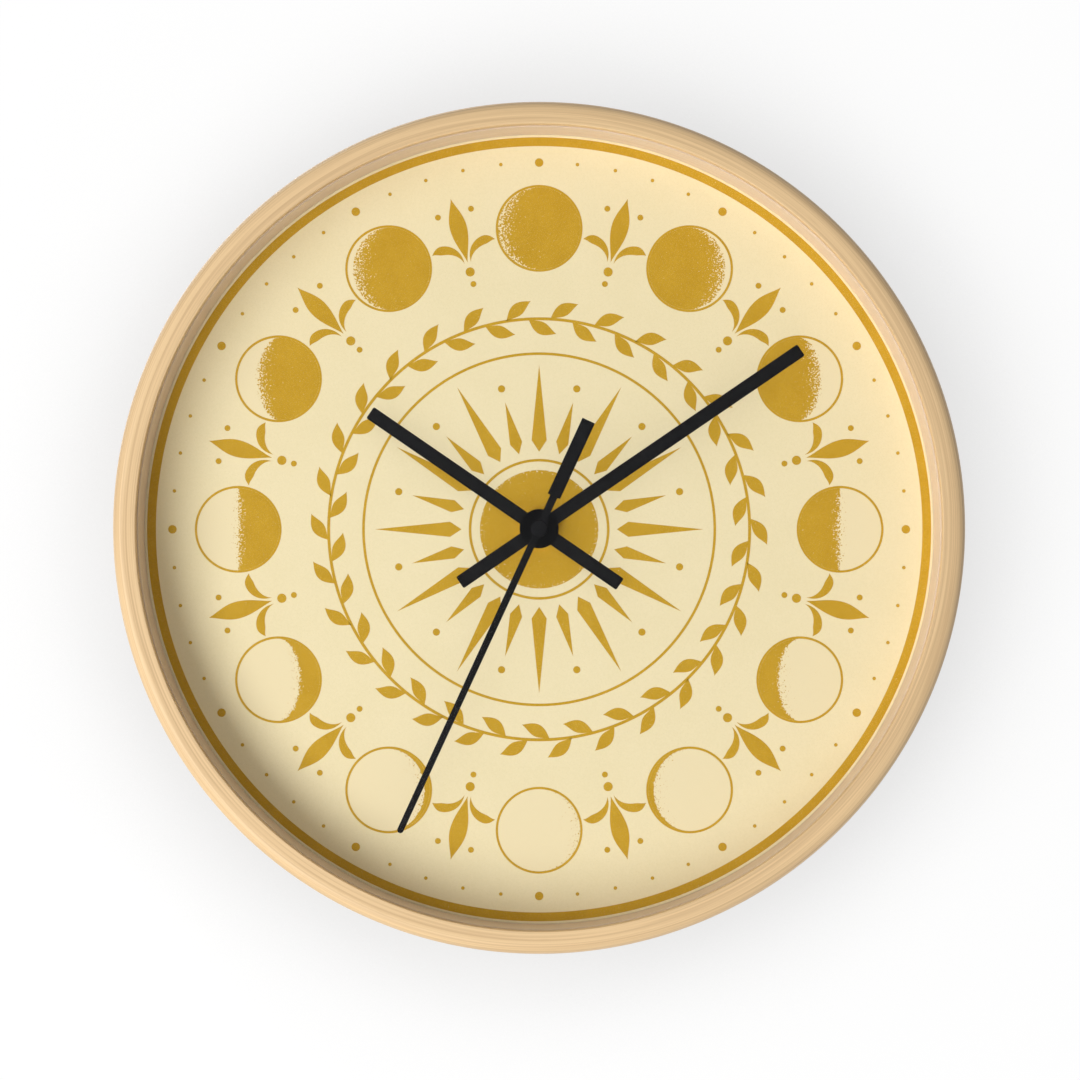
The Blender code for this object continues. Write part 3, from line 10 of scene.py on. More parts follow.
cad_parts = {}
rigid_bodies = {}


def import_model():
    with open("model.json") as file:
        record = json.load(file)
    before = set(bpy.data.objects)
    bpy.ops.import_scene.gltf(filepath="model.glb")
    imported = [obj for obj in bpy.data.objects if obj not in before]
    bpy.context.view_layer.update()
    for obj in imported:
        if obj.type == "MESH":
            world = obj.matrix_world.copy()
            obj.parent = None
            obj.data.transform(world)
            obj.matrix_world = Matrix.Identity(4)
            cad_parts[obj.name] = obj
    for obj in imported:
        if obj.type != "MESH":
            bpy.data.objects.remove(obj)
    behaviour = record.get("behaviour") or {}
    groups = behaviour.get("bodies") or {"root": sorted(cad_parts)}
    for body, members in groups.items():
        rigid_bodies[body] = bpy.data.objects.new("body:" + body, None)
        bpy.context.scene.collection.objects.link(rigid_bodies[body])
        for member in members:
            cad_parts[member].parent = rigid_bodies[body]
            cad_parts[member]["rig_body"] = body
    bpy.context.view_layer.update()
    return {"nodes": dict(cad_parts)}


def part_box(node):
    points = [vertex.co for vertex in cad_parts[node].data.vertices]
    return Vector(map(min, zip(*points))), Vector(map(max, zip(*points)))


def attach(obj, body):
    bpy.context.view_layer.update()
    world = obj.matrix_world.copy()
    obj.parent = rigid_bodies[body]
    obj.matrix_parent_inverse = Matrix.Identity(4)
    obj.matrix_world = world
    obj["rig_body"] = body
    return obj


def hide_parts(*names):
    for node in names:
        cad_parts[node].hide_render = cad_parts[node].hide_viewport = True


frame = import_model()

# The ring. It is turned from bamboo ply, with a rounded front edge, a thin lip that keeps the pane in, a
# deep rebate from behind and four pilot holes. The grain runs round it, under a clear satin lacquer.

NAIL_TO_ARBOR = 0.050
BENCH = Matrix.Translation((0, 0, -NAIL_TO_ARBOR)) @ Matrix.Rotation(math.radians(90), 4, "X")
RING_RADIUS = 0.127
RING_FRONT = 0.0450
RING_FRONT_ROUND = 0.0037
RING_REAR_ROUND = 0.0010
REBATE_RADIUS = 0.1225
MOUTH_RADIUS = 0.1199
LIP_REAR = 0.0425
LIP_ROUND = 0.0004
RING_STEPS = 360
SCREW_DIRECTIONS = (45, 135, 225, 315)
SCREW_HEIGHT = 0.0143
PILOT_RADIUS = 0.00105
PILOT_END = 0.1254
PILOT_STEPS = 24
SHARP_ABOVE = 35
FIBRE_SHARE = 0.65
STRIP_SHARE = 0.35
FLECK_SHARE = 0.35
PLY_SWING = 0.22
GLUE_LINE_SHARE = 0.30
GLUE_LINE_HALF = 0.035


def tone(red, green, blue):
    """A colour as it looks on a screen, from 0 to 255, as the shader's own numbers."""
    seen = [c / 255 for c in (red, green, blue)]
    return tuple(c / 12.92 if c <= 0.04045 else ((c + 0.055) / 1.055) ** 2.4 for c in seen) + (1,)


def node(tree, kind, inputs=(), **settings):
    """Puts a node in a tree, with its settings, and links or fills the inputs given."""
    made = tree.nodes.new("ShaderNode" + kind)
    for name, value in settings.items():
        setattr(made, name, value)
    for name, value in dict(inputs).items():
        if isinstance(value, bpy.types.NodeSocket):
            tree.links.new(value, made.inputs[name])
        else:
            made.inputs[name].default_value = value
    return made


def maths(tree, operation, first, second=0.0):
    return node(tree, "Math", {0: first, 1: second}, operation=operation).outputs[0]


def blended(tree, share, first, second):
    """A colour between two, or a multiple of them where the share varies over the surface."""
    return node(tree, "Mix", {0: share, 6: first, 7: second}, data_type="RGBA").outputs[2]


def stretched(tree, value, low, high, new_low=0.0, new_high=1.0):
    limits = {0: value, 1: low, 2: high, 3: new_low, 4: new_high}
    return node(tree, "MapRange", limits, interpolation_type="SMOOTHSTEP").outputs[0]


def new_group(name, takes, gives):
    """An empty node group with its sockets, its input side and its output side."""
    group = bpy.data.node_groups.new(name, "ShaderNodeTree")
    for label, kind, value in takes:
        socket = group.interface.new_socket(label, in_out="INPUT", socket_type="NodeSocket" + kind)
        if value is not None:
            socket.default_value = value
    for label, kind in gives:
        group.interface.new_socket(label, in_out="OUTPUT", socket_type="NodeSocket" + kind)
    return group, group.nodes.new("NodeGroupInput").outputs, group.nodes.new("NodeGroupOutput").inputs


def new_finish(name, roughness, metallic=0.0, specular=0.5):
    """A material with its shader and the piece's own coordinates."""
    material = bpy.data.materials.new(name)
    material.use_nodes = True
    tree = material.node_tree
    shader = tree.nodes["Principled BSDF"]
    shader.inputs["Roughness"].default_value = roughness
    shader.inputs["Metallic"].default_value = metallic
    shader.inputs["Specular IOR Level"].default_value = specular
    return material, tree, shader, node(tree, "TexCoord").outputs["Object"]


def surfaced(tree, shader, colour, roughness, height, distance):
    """Sends a colour, a roughness and a height pattern, as a bump that deep in metres, to the shader."""
    tree.links.new(colour, shader.inputs["Base Color"])
    tree.links.new(roughness, shader.inputs["Roughness"])
    sockets = {"Height": height, "Distance": distance, "Strength": 1.0}
    tree.links.new(node(tree, "Bump", sockets).outputs[0], shader.inputs["Normal"])


def off_arbor(tree, place):
    """How far a place lies off the arbor in the plane of the dial, as a vector."""
    from_arbor = node(tree, "VectorMath", {0: place, 1: (0, 0, NAIL_TO_ARBOR)}, operation="ADD").outputs[0]
    return node(tree, "VectorMath", {0: from_arbor, 1: (1, 0, 1)}, operation="MULTIPLY").outputs[0]


grain_group, taken, given = new_group(
    "grain_round_the_ring",
    [
        ("Vector", "Vector", None),
        ("Streaks Round", "Float", 6.0),
        ("Fibres Across", "Float", 2600.0),
        ("Plies Per Metre", "Float", 160.0),
        ("Light", "Color", (1, 1, 1, 1)),
        ("Dark", "Color", (0, 0, 0, 1)),
    ],
    [("Color", "Color"), ("Height", "Float"), ("Roughness", "Float")],
)
in_plane = off_arbor(grain_group, taken["Vector"])
outwards = node(grain_group, "VectorMath", {0: in_plane}, operation="NORMALIZE").outputs[0]
radius = node(grain_group, "VectorMath", {0: in_plane}, operation="LENGTH").outputs["Value"]
depth = node(grain_group, "SeparateXYZ", {0: taken["Vector"]}).outputs["Y"]
outwards_parts = node(grain_group, "SeparateXYZ", {0: outwards}).outputs


def ring_streaks(along, across, detail):
    """Noise drawn out round the ring, fine across its width and its depth."""
    place = node(
        grain_group,
        "CombineXYZ",
        {
            0: maths(grain_group, "MULTIPLY", outwards_parts[0], along),
            1: maths(grain_group, "MULTIPLY", outwards_parts[2], along),
            2: maths(grain_group, "MULTIPLY", radius, across),
        },
    ).outputs[0]
    in_depth = maths(grain_group, "MULTIPLY", depth, across)
    sockets = {"Vector": place, "W": in_depth, "Scale": 1.0, "Detail": detail}
    return node(grain_group, "TexNoise", sockets, noise_dimensions="4D").outputs[0]


fibres = ring_streaks(taken["Streaks Round"], taken["Fibres Across"], 3.0)
strips = ring_streaks(0.9, maths(grain_group, "MULTIPLY", taken["Fibres Across"], 0.40), 2.0)
flecks = ring_streaks(
    maths(grain_group, "MULTIPLY", taken["Streaks Round"], 5.0),
    maths(grain_group, "MULTIPLY", taken["Fibres Across"], 1.3),
    1.0,
)
ply_depth = maths(grain_group, "MULTIPLY", depth, taken["Plies Per Metre"])
ply = node(grain_group, "TexWhiteNoise", {"W": maths(grain_group, "FLOOR", ply_depth)}, noise_dimensions="1D")
ply_tone = stretched(grain_group, ply.outputs["Value"], 0.0, 1.0, -PLY_SWING, PLY_SWING)
from_glue = maths(grain_group, "PINGPONG", ply_depth, 0.5)
glue_line = stretched(grain_group, from_glue, 0.0, GLUE_LINE_HALF, GLUE_LINE_SHARE, 0.0)
fibre_share = maths(grain_group, "MULTIPLY", stretched(grain_group, fibres, 0.34, 0.66), FIBRE_SHARE)
strip_share = maths(grain_group, "MULTIPLY", stretched(grain_group, strips, 0.34, 0.66), STRIP_SHARE)
ply_share = maths(grain_group, "SUBTRACT", ply_tone, glue_line)
light_share = maths(grain_group, "ADD", maths(grain_group, "ADD", fibre_share, strip_share), ply_share)
plain_wood = blended(grain_group, light_share, taken["Dark"], taken["Light"])
fleck_share = maths(grain_group, "MULTIPLY", stretched(grain_group, flecks, 0.66, 0.78), FLECK_SHARE)
grain_group.links.new(blended(grain_group, fleck_share, plain_wood, taken["Dark"]), given["Color"])
grain_group.links.new(light_share, given["Height"])
grain_group.links.new(stretched(grain_group, fibres, 0.2, 0.8, 0.52, 0.40), given["Roughness"])


def bamboo(name, light, dark, streaks, fibres_across, plies):
    """Lacquered bamboo of two tones, its grain running round the ring."""
    material, tree, shader, place = new_finish(name, 0.45, specular=0.35)
    sockets = {
        "Vector": place,
        "Streaks Round": streaks,
        "Fibres Across": fibres_across,
        "Plies Per Metre": plies,
        "Light": light,
        "Dark": dark,
    }
    grain = node(tree, "Group", sockets, node_tree=grain_group).outputs
    shader.inputs["Coat Weight"].default_value = 0.12
    shader.inputs["Coat Roughness"].default_value = 0.30
    surfaced(tree, shader, grain["Color"], grain["Roughness"], grain["Height"], 0.00003)
    return material


def arc(centre, size, start, end, steps):
    """Points of an arc, from one direction to another in degrees."""
    turns = [math.radians(start + (end - start) * i / steps) for i in range(steps + 1)]
    return [(centre[0] + size * math.cos(a), centre[1] + size * math.sin(a)) for a in turns]


def lathe(profile, steps, closed=False):
    """A shape turned about the bench's upright axis from (radius, height) points."""
    shape = bmesh.new()
    rows = []
    for reach, height in profile:
        if reach < 1e-7:
            rows.append([shape.verts.new((0, 0, height))] * steps)
            continue
        turns = [2 * math.pi * i / steps for i in range(steps)]
        rows.append([shape.verts.new((reach * math.cos(a), reach * math.sin(a), height)) for a in turns])
    pairs = list(zip(rows, rows[1:])) + ([(rows[-1], rows[0])] if closed else [])
    for one, other in pairs:
        for i in range(steps):
            j = (i + 1) % steps
            corners = list(dict.fromkeys((one[i], one[j], other[j], other[i])))
            if len(corners) > 2:
                shape.faces.new(corners)
    return shape


def radially(direction, height):
    """Turns a shape's own axis outwards from the arbor, in a direction in degrees and at a height."""
    outwards = Matrix.Rotation(math.radians(direction), 4, "Z") @ Matrix.Rotation(math.radians(90), 4, "Y")
    return Matrix.Translation((0, 0, height)) @ outwards


def cut(shape, cutter):
    """A shape with the cutter's space taken out of it."""
    solids = []
    for part in (shape, cutter):
        bmesh.ops.recalc_face_normals(part, faces=part.faces)
        mesh = bpy.data.meshes.new("solid")
        part.to_mesh(mesh)
        part.free()
        solids.append(bpy.data.objects.new("solid", mesh))
        bpy.context.scene.collection.objects.link(solids[-1])
    solids[0].modifiers.new("taken_out", "BOOLEAN").object = solids[1]
    left = bmesh.new()
    left.from_mesh(solids[0].evaluated_get(bpy.context.evaluated_depsgraph_get()).data)
    for solid in solids:
        mesh = solid.data
        bpy.data.objects.remove(solid)
        bpy.data.meshes.remove(mesh)
    return left


def put_in_place(shape, name, materials, *stood_for):
    """Makes a piece from a shape, on the body of the node that it stands for, and hides that node."""
    bmesh.ops.recalc_face_normals(shape, faces=shape.faces)
    for edge in shape.edges:
        edge.smooth = len(edge.link_faces) == 2 and edge.calc_face_angle() < math.radians(SHARP_ABOVE)
    for face in shape.faces:
        face.smooth = True
    mesh = bpy.data.meshes.new(name)
    shape.to_mesh(mesh)
    shape.free()
    for material in materials:
        mesh.materials.append(material)
    piece = bpy.data.objects.new(name, mesh)
    bpy.context.scene.collection.objects.link(piece)
    flats = piece.modifiers.new("flat_faces_stay_flat", "WEIGHTED_NORMAL")
    flats.keep_sharp = True
    first = frame["nodes"][stood_for[0]]
    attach(piece, first["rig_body"])
    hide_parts(*stood_for)
    return piece


lip_centre = (MOUTH_RADIUS + LIP_ROUND, RING_FRONT - LIP_ROUND)
front_centre = (RING_RADIUS - RING_FRONT_ROUND, RING_FRONT - RING_FRONT_ROUND)
rear_centre = (RING_RADIUS - RING_REAR_ROUND, RING_REAR_ROUND)
ring_profile = arc(lip_centre, LIP_ROUND, 180, 90, 4)
ring_profile += arc(front_centre, RING_FRONT_ROUND, 90, 0, 16)
ring_profile += arc(rear_centre, RING_REAR_ROUND, 0, -90, 6)
ring_profile += [(REBATE_RADIUS, 0), (REBATE_RADIUS, LIP_REAR), (MOUTH_RADIUS, LIP_REAR)]
ring = lathe(ring_profile, RING_STEPS, closed=True)
pilot_profile = [(0, MOUTH_RADIUS), (PILOT_RADIUS, MOUTH_RADIUS), (PILOT_RADIUS, PILOT_END), (0, PILOT_END)]
for direction in SCREW_DIRECTIONS:
    pilot = lathe(pilot_profile, PILOT_STEPS)
    pilot.transform(radially(direction, SCREW_HEIGHT))
    ring = cut(ring, pilot)
ring.transform(BENCH)
ring_bamboo = bamboo("lacquered_bamboo", tone(236, 202, 153), tone(204, 170, 126), 2.2, 2300.0, 160.0)
put_in_place(ring, "bamboo_ring", [ring_bamboo], "wood_frame")

# The pane. It is a flat disc of clear acrylic, cut a little smaller than the rebate and laid behind the
# lip. Its edges are scraped to a small chamfer, and its faces are polished.

PANE_RADIUS = 0.1222
PANE_REAR = 0.0402
PANE_FRONT = 0.0422
PANE_CHAMFER = 0.0002
PANE_IOR = 1.08

pane = lathe(
    [
        (0, PANE_REAR),
        (PANE_RADIUS - PANE_CHAMFER, PANE_REAR),
        (PANE_RADIUS, PANE_REAR + PANE_CHAMFER),
        (PANE_RADIUS, PANE_FRONT - PANE_CHAMFER),
        (PANE_RADIUS - PANE_CHAMFER, PANE_FRONT),
        (0, PANE_FRONT),
    ],
    RING_STEPS,
)
pane.transform(BENCH)
clear, tree, shader, place = new_finish("clear_acrylic", 0.0)
shader.inputs["Base Color"].default_value = (0.995, 0.998, 0.997, 1)
shader.inputs["Transmission Weight"].default_value = 1.0
shader.inputs["IOR"].default_value = PANE_IOR
path = node(tree, "LightPath").outputs
lets_light_by = maths(tree, "MAXIMUM", path["Is Shadow Ray"], path["Is Diffuse Ray"])
open_air = node(tree, "BsdfTransparent").outputs[0]
pane_mix = node(tree, "MixShader", {0: lets_light_by, 1: shader.outputs[0], 2: open_air})
tree.links.new(pane_mix.outputs[0], tree.nodes["Material Output"].inputs["Surface"])
put_in_place(pane, "clear_pane", [clear], "front_lens")

# The hoop between pane and dial. It is a thin bamboo strip bent round and glued to itself, with its own
# grain along it, a little paler than the ring. Only its inner wall shows.

HOOP_REAR = 0.0258
HOOP_FRONT = 0.0399
HOOP_EDGE = 0.0002

hoop = lathe(
    [
        (MOUTH_RADIUS, HOOP_REAR),
        (PANE_RADIUS, HOOP_REAR),
        (PANE_RADIUS, HOOP_FRONT),
        (MOUTH_RADIUS + HOOP_EDGE, HOOP_FRONT),
        (MOUTH_RADIUS, HOOP_FRONT - HOOP_EDGE),
    ],
    RING_STEPS,
    closed=True,
)
hoop.transform(BENCH)
hoop_bamboo = bamboo("bent_bamboo_strip", tone(238, 217, 197), tone(225, 202, 177), 2.2, 2000.0, 20.0)
put_in_place(hoop, "inner_hoop", [hoop_bamboo], "spacer_ring")

# The dial. It is a sheet of cream paper, printed with gold ink a hair thick, and glued to nothing: the
# hoop and the movement's nut hold it. The design is a border, twelve moons, a wreath and a sunburst.

DIAL_REAR = 0.0251
DIAL_FRONT = 0.0255
DIAL_HOLE = 0.0041
INK_FOOT = DIAL_FRONT - 0.00001
INK_TOP = DIAL_FRONT + 0.00001
INK_OVER_INK = 0.000004
INK_GAP = 0.00002
PASSES = 6
DOT_STEPS = 14
LEAF_STEPS = 20
MOON_STEPS = 48
MOON_ROWS = 10
BORDER_OUTER = 0.1192
BORDER_INNER = 0.1165
MINUTE_DOTS_AT = 0.1115
MINUTE_DOT = 0.00055
HOUR_DOT = 0.0013
MOONS_AT = 0.0915
MOON_RADIUS = 0.0132
MOON_LINE = 0.0007
LIT_OPENNESS = 0.10
TERMINATOR_OPENNESS = 0.42
TERMINATOR_SHARE = 0.45
DARK_OPENNESS = 0.62
SPRIG_FOOT = 0.0840
SPRIG_LEAF = {"length": 0.0200, "width": 0.0052, "fullest": 0.55}
CURL_FOOT = 0.0838
CURL_ASIDE = 0.0010
CURL_LEAN = 8
CURL_BEND = 112
CURL_LEAF = {"length": 0.0120, "width": 0.0027, "fullest": 0.72}
BERRY = 0.0009
BERRIES_AT = 0.0995
BERRIES_ASIDE = 0.0052
STEM_DOTS = ((0.0810, 0.0014), (0.0772, BERRY))
WREATH_RADIUS = 0.0640
WREATH_LINE = 0.0009
WREATH_LEAVES = 30
WREATH_LEAF = {"length": 0.0098, "width": 0.0038, "fullest": 0.5}
WREATH_LEAF_STEP = 3.0
WREATH_LEAF_LEAN = 40
WREATH_LEAF_BEND = 26
SUN_RADIUS = 0.0180
SUN_RINGS = ((0.0206, 0.0214), (0.0530, 0.0538))
SUN_RAYS = 24
RAY_FOOT = 0.0236
RAY_SHOULDER = 0.0271
LONG_RAY = (0.0500, 0.0023)
SHORT_RAY = (0.0400, 0.0019)
RAY_DOTS_AT = 0.0442
RAY_DOT = 0.0011

dial = lathe(
    [(DIAL_HOLE, DIAL_REAR), (PANE_RADIUS, DIAL_REAR), (PANE_RADIUS, DIAL_FRONT), (DIAL_HOLE, DIAL_FRONT)],
    RING_STEPS,
    closed=True,
)
stipple = dial.verts.layers.float.new("stipple")
prints = []


def round_the_dial(clockwise, reach, aside=0.0):
    """A place on the dial: an angle from twelve, a radius, and a step to the right of that line."""
    a = math.radians(clockwise)
    return (reach * math.sin(a) + aside * math.cos(a), reach * math.cos(a) - aside * math.sin(a))


def printed(one_edge, other_edge, across=1, closed=False, thinning=lambda over: 0.0):
    """Prints the patch between two edges with as many points each. Thinning is how open the ink is."""
    tops, feet = [], []
    top_height = INK_TOP + INK_OVER_INK * (len(prints) % PASSES)
    prints.append(top_height)
    for one, other in zip(one_edge, other_edge):
        tops.append([])
        feet.append([])
        for j in range(across + 1):
            over = j / across
            spot = [a + (b - a) * over for a, b in zip(one, other)]
            for row, height in ((tops, top_height), (feet, INK_FOOT)):
                corner = dial.verts.new((*spot, height))
                corner[stipple] = thinning(over)
                row[-1].append(corner)
    patches = list(zip(tops, tops[1:], feet, feet[1:]))
    if closed:
        patches.append((tops[-1], tops[0], feet[-1], feet[0]))
    made = []
    for top, next_top, foot, next_foot in patches:
        for j in range(across):
            made.append(dial.faces.new((top[j], top[j + 1], next_top[j + 1], next_top[j])))
            made.append(dial.faces.new((foot[j], next_foot[j], next_foot[j + 1], foot[j + 1])))
        made.append(dial.faces.new((top[0], next_top[0], next_foot[0], foot[0])))
        made.append(dial.faces.new((top[-1], foot[-1], next_foot[-1], next_top[-1])))
    if not closed:
        for top, foot in ((tops[0], feet[0]), (tops[-1], feet[-1])):
            for j in range(across):
                made.append(dial.faces.new((top[j], foot[j], foot[j + 1], top[j + 1])))
    for face in made:
        face.material_index = 1
    corners = [corner for row in tops + feet for corner in row]
    bmesh.ops.remove_doubles(dial, verts=corners, dist=1e-7)


def printed_line(inner, outer, **patch):
    """A line right round the dial between two radii."""
    steps = [360 * i / RING_STEPS for i in range(RING_STEPS)]
    edges = [[round_the_dial(a, reach) for a in steps] for reach in (inner, outer)]
    printed(*edges, closed=True, **patch)


def printed_dot(centre, size):
    half = [math.pi * i / DOT_STEPS for i in range(DOT_STEPS + 1)]
    left = [(centre[0] - size * math.sin(a), centre[1] + size * math.cos(a)) for a in half]
    right = [(centre[0] + size * math.sin(a), centre[1] + size * math.cos(a)) for a in half]
    printed(left, right)


def printed_leaf(foot, towards, length, width, fullest, bend=0.0):
    """A leaf from its foot in a direction in degrees from twelve, bent to the right by a share of a turn."""
    left, right = [], []
    x, y = foot
    for i in range(LEAF_STEPS + 1):
        t = i / LEAF_STEPS
        heading = math.radians(towards + bend * t)
        swell = t / fullest if t < fullest else (1 - t) / (1 - fullest)
        half = width / 2 * math.sin(math.pi / 2 * min(1.0, swell)) ** 1.25
        left.append((x - half * math.cos(heading), y + half * math.sin(heading)))
        right.append((x + half * math.cos(heading), y - half * math.sin(heading)))
        x += length / LEAF_STEPS * math.sin(heading)
        y += length / LEAF_STEPS * math.cos(heading)
    printed(left, right)


def lit_part(over):
    """Nearly closed ink, which opens towards the terminator."""
    near_dark = max(0.0, (over - 1 + TERMINATOR_SHARE) / TERMINATOR_SHARE)
    return LIT_OPENNESS + TERMINATOR_OPENNESS * near_dark**1.5


def dark_part(over):
    """Open ink, which is gone before the dark edge."""
    return min(1.0, DARK_OPENNESS + 0.9 * over)


def sun_disc(over):
    """Closed ink, a little worn at the disc's edge."""
    return 0.06 + 0.30 * over**6


def printed_moon(centre, phase):
    """A moon at a phase from 0, new, through 180, full: its lit part solid, its dark part stippled."""
    lit_side = 1 if phase <= 180 else -1
    bulge = math.cos(math.radians(phase))
    half = [math.pi * i / MOON_STEPS for i in range(MOON_STEPS + 1)]
    size = MOON_RADIUS - MOON_LINE - INK_GAP

    def meridian(share):
        return [(centre[0] + share * size * math.sin(a), centre[1] + size * math.cos(a)) for a in half]

    if phase:
        printed(meridian(lit_side), meridian(lit_side * bulge), across=MOON_ROWS, thinning=lit_part)
    if phase != 180:
        terminator = meridian(lit_side * (bulge - INK_GAP / size))
        printed(terminator, meridian(-lit_side), across=MOON_ROWS, thinning=dark_part)
    full = [math.pi * i / MOON_STEPS for i in range(2 * MOON_STEPS)]
    rims = [
        [(centre[0] + r * math.cos(a), centre[1] + r * math.sin(a)) for a in full]
        for r in (MOON_RADIUS - MOON_LINE, MOON_RADIUS)
    ]
    printed(*rims, closed=True)


printed_line(BORDER_INNER, BORDER_OUTER)
for minute in range(60):
    size = MINUTE_DOT if minute % 5 else HOUR_DOT
    printed_dot(round_the_dial(6 * minute, MINUTE_DOTS_AT), size)
for hour in range(12):
    printed_moon(round_the_dial(30 * hour, MOONS_AT), (30 * hour + 180) % 360)
    between = 30 * hour + 15
    printed_leaf(round_the_dial(between, SPRIG_FOOT), between, **SPRIG_LEAF)
    for side in (-1, 1):
        foot = round_the_dial(between, CURL_FOOT, side * CURL_ASIDE)
        printed_leaf(foot, between + side * CURL_LEAN, bend=side * CURL_BEND, **CURL_LEAF)
        printed_dot(round_the_dial(between, BERRIES_AT, side * BERRIES_ASIDE), BERRY)
    for reach, size in STEM_DOTS:
        printed_dot(round_the_dial(between, reach), size)
printed_line(WREATH_RADIUS - WREATH_LINE / 2, WREATH_RADIUS + WREATH_LINE / 2)
for leaf in range(WREATH_LEAVES):
    angle = 360 * leaf / WREATH_LEAVES
    for side in (-1, 1):
        foot = round_the_dial(angle + side * WREATH_LEAF_STEP, WREATH_RADIUS)
        towards = angle + 90 - side * WREATH_LEAF_LEAN
        printed_leaf(foot, towards, bend=side * WREATH_LEAF_BEND, **WREATH_LEAF)
for inner, outer in SUN_RINGS:
    printed_line(inner, outer)
printed_line(DIAL_HOLE + INK_GAP, SUN_RADIUS, across=8, thinning=sun_disc)
for ray in range(SUN_RAYS):
    angle = 360 * ray / SUN_RAYS
    tip, width = SHORT_RAY if ray % 2 else LONG_RAY
    line = [(RAY_FOOT, 0.0), (RAY_SHOULDER, width), (tip, 0.0)]
    printed(*([round_the_dial(angle, reach, side * half) for reach, half in line] for side in (-1, 1)))
    if ray % 2:
        printed_dot(round_the_dial(angle, RAY_DOTS_AT), RAY_DOT)

dial.transform(BENCH)

speckle_group, taken, given = new_group(
    "fine_speckle",
    [
        ("Vector", "Vector", None),
        ("Specks Per Metre", "Float", 1500.0),
        ("Color", "Color", (0.5, 0.5, 0.5, 1)),
        ("Other Color", "Color", (0.4, 0.4, 0.4, 1)),
        ("Roughness", "Float", 0.5),
        ("Roughness Swing", "Float", 0.1),
    ],
    [("Color", "Color"), ("Height", "Float"), ("Roughness", "Float")],
)
specks = node(
    speckle_group, "TexNoise", {"Vector": taken["Vector"], "Scale": taken["Specks Per Metre"], "Detail": 3.0}
).outputs[0]
clouds = node(
    speckle_group,
    "TexNoise",
    {
        "Vector": taken["Vector"],
        "Scale": maths(speckle_group, "MULTIPLY", taken["Specks Per Metre"], 0.045),
        "Detail": 2.0,
    },
).outputs[0]
speck_share = maths(
    speckle_group,
    "ADD",
    maths(speckle_group, "MULTIPLY", stretched(speckle_group, specks, 0.32, 0.68), 0.7),
    maths(speckle_group, "MULTIPLY", stretched(speckle_group, clouds, 0.35, 0.65), 0.3),
)
mixed = blended(speckle_group, speck_share, taken["Color"], taken["Other Color"])
speckle_group.links.new(mixed, given["Color"])
speckle_group.links.new(specks, given["Height"])
off_middle = maths(speckle_group, "SUBTRACT", speck_share, 0.5)
swing = maths(speckle_group, "MULTIPLY", off_middle, taken["Roughness Swing"])
speckle_group.links.new(maths(speckle_group, "ADD", taken["Roughness"], swing), given["Roughness"])


def speckle_in(tree, place, colour, other, per_metre, roughness, swing=0.1):
    """Places the speckle in a material with its own values."""
    sockets = {
        "Vector": place,
        "Specks Per Metre": per_metre,
        "Color": colour,
        "Other Color": other,
        "Roughness": roughness,
        "Roughness Swing": swing,
    }
    return node(tree, "Group", sockets, node_tree=speckle_group).outputs


def speckled(name, colour, other, per_metre, roughness, bump, metallic=0.0, specular=0.5, swing=0.1):
    """A finish with a fine speckle of two colours, and a surface as fine."""
    material, tree, shader, place = new_finish(name, roughness, metallic, specular)
    speckle = speckle_in(tree, place, colour, other, per_metre, roughness, swing)
    surfaced(tree, shader, speckle["Color"], speckle["Roughness"], speckle["Height"], bump)
    return material


cream, cream_shade, cream_through_ink = tone(246, 231, 189), tone(242, 227, 183), tone(244, 228, 185)
paper = speckled("cream_paper", cream, cream_shade, 1500.0, 0.75, 0.00001, specular=0.15)
gold, tree, shader, place = new_finish("gold_ink", 0.6, specular=0.1)
speckle = speckle_in(tree, place, tone(207, 164, 50), tone(194, 151, 39), 2600.0, 0.6, 0.15)
openness = node(tree, "Attribute", attribute_name="stipple").outputs["Fac"]
grains = node(tree, "TexNoise", {"Vector": place, "Scale": 2300.0, "Detail": 2.0}).outputs[0]
threshold = stretched(tree, openness, 0.0, 1.0, 0.24, 0.80)
bare = stretched(tree, maths(tree, "SUBTRACT", threshold, grains), -0.01, 0.03)
ink = blended(tree, bare, speckle["Color"], cream_through_ink)
surfaced(tree, shader, ink, speckle["Roughness"], speckle["Height"], 0.00001)
put_in_place(dial, "printed_dial", [paper, gold], "dial_sheet")

# The backing board. It is a disc of brown hardboard that fills the ring behind the dial. Its front is
# smooth, and its rear has the print of the wire mesh that it was pressed on.

BOARD_REAR = 0.0218
BOARD_FRONT = 0.0248
BOARD_EDGE = 0.0002

board = lathe(
    [
        (DIAL_HOLE, BOARD_REAR),
        (PANE_RADIUS - BOARD_EDGE, BOARD_REAR),
        (PANE_RADIUS, BOARD_REAR + BOARD_EDGE),
        (PANE_RADIUS, BOARD_FRONT),
        (DIAL_HOLE, BOARD_FRONT),
    ],
    RING_STEPS,
    closed=True,
)
board.transform(BENCH)
hardboard, tree, shader, place = new_finish("pressed_hardboard", 0.8, specular=0.25)
speckle = speckle_in(tree, place, tone(150, 112, 78), tone(116, 82, 54), 900.0, 0.8)
wires = {"Vector": place, "Scale": 180.0, "Distortion": 0.3}
mesh_prints = [node(tree, "TexWave", wires, bands_direction=way).outputs["Fac"] for way in ("X", "Z")]
mesh_print = maths(tree, "MULTIPLY", *mesh_prints)
worn = blended(tree, maths(tree, "MULTIPLY", mesh_print, 0.35), speckle["Color"], tone(96, 66, 42))
rough_rear = maths(tree, "ADD", mesh_print, speckle["Height"])
surfaced(tree, shader, worn, speckle["Roughness"], rough_rear, 0.00012)
put_in_place(board, "hardboard_disc", [hardboard], "backing_board")

# The angles and screws that hold the board. The angles are bent from zinc-plated strip with their edges
# tumbled, and each screw has a pan head with a cross recess.

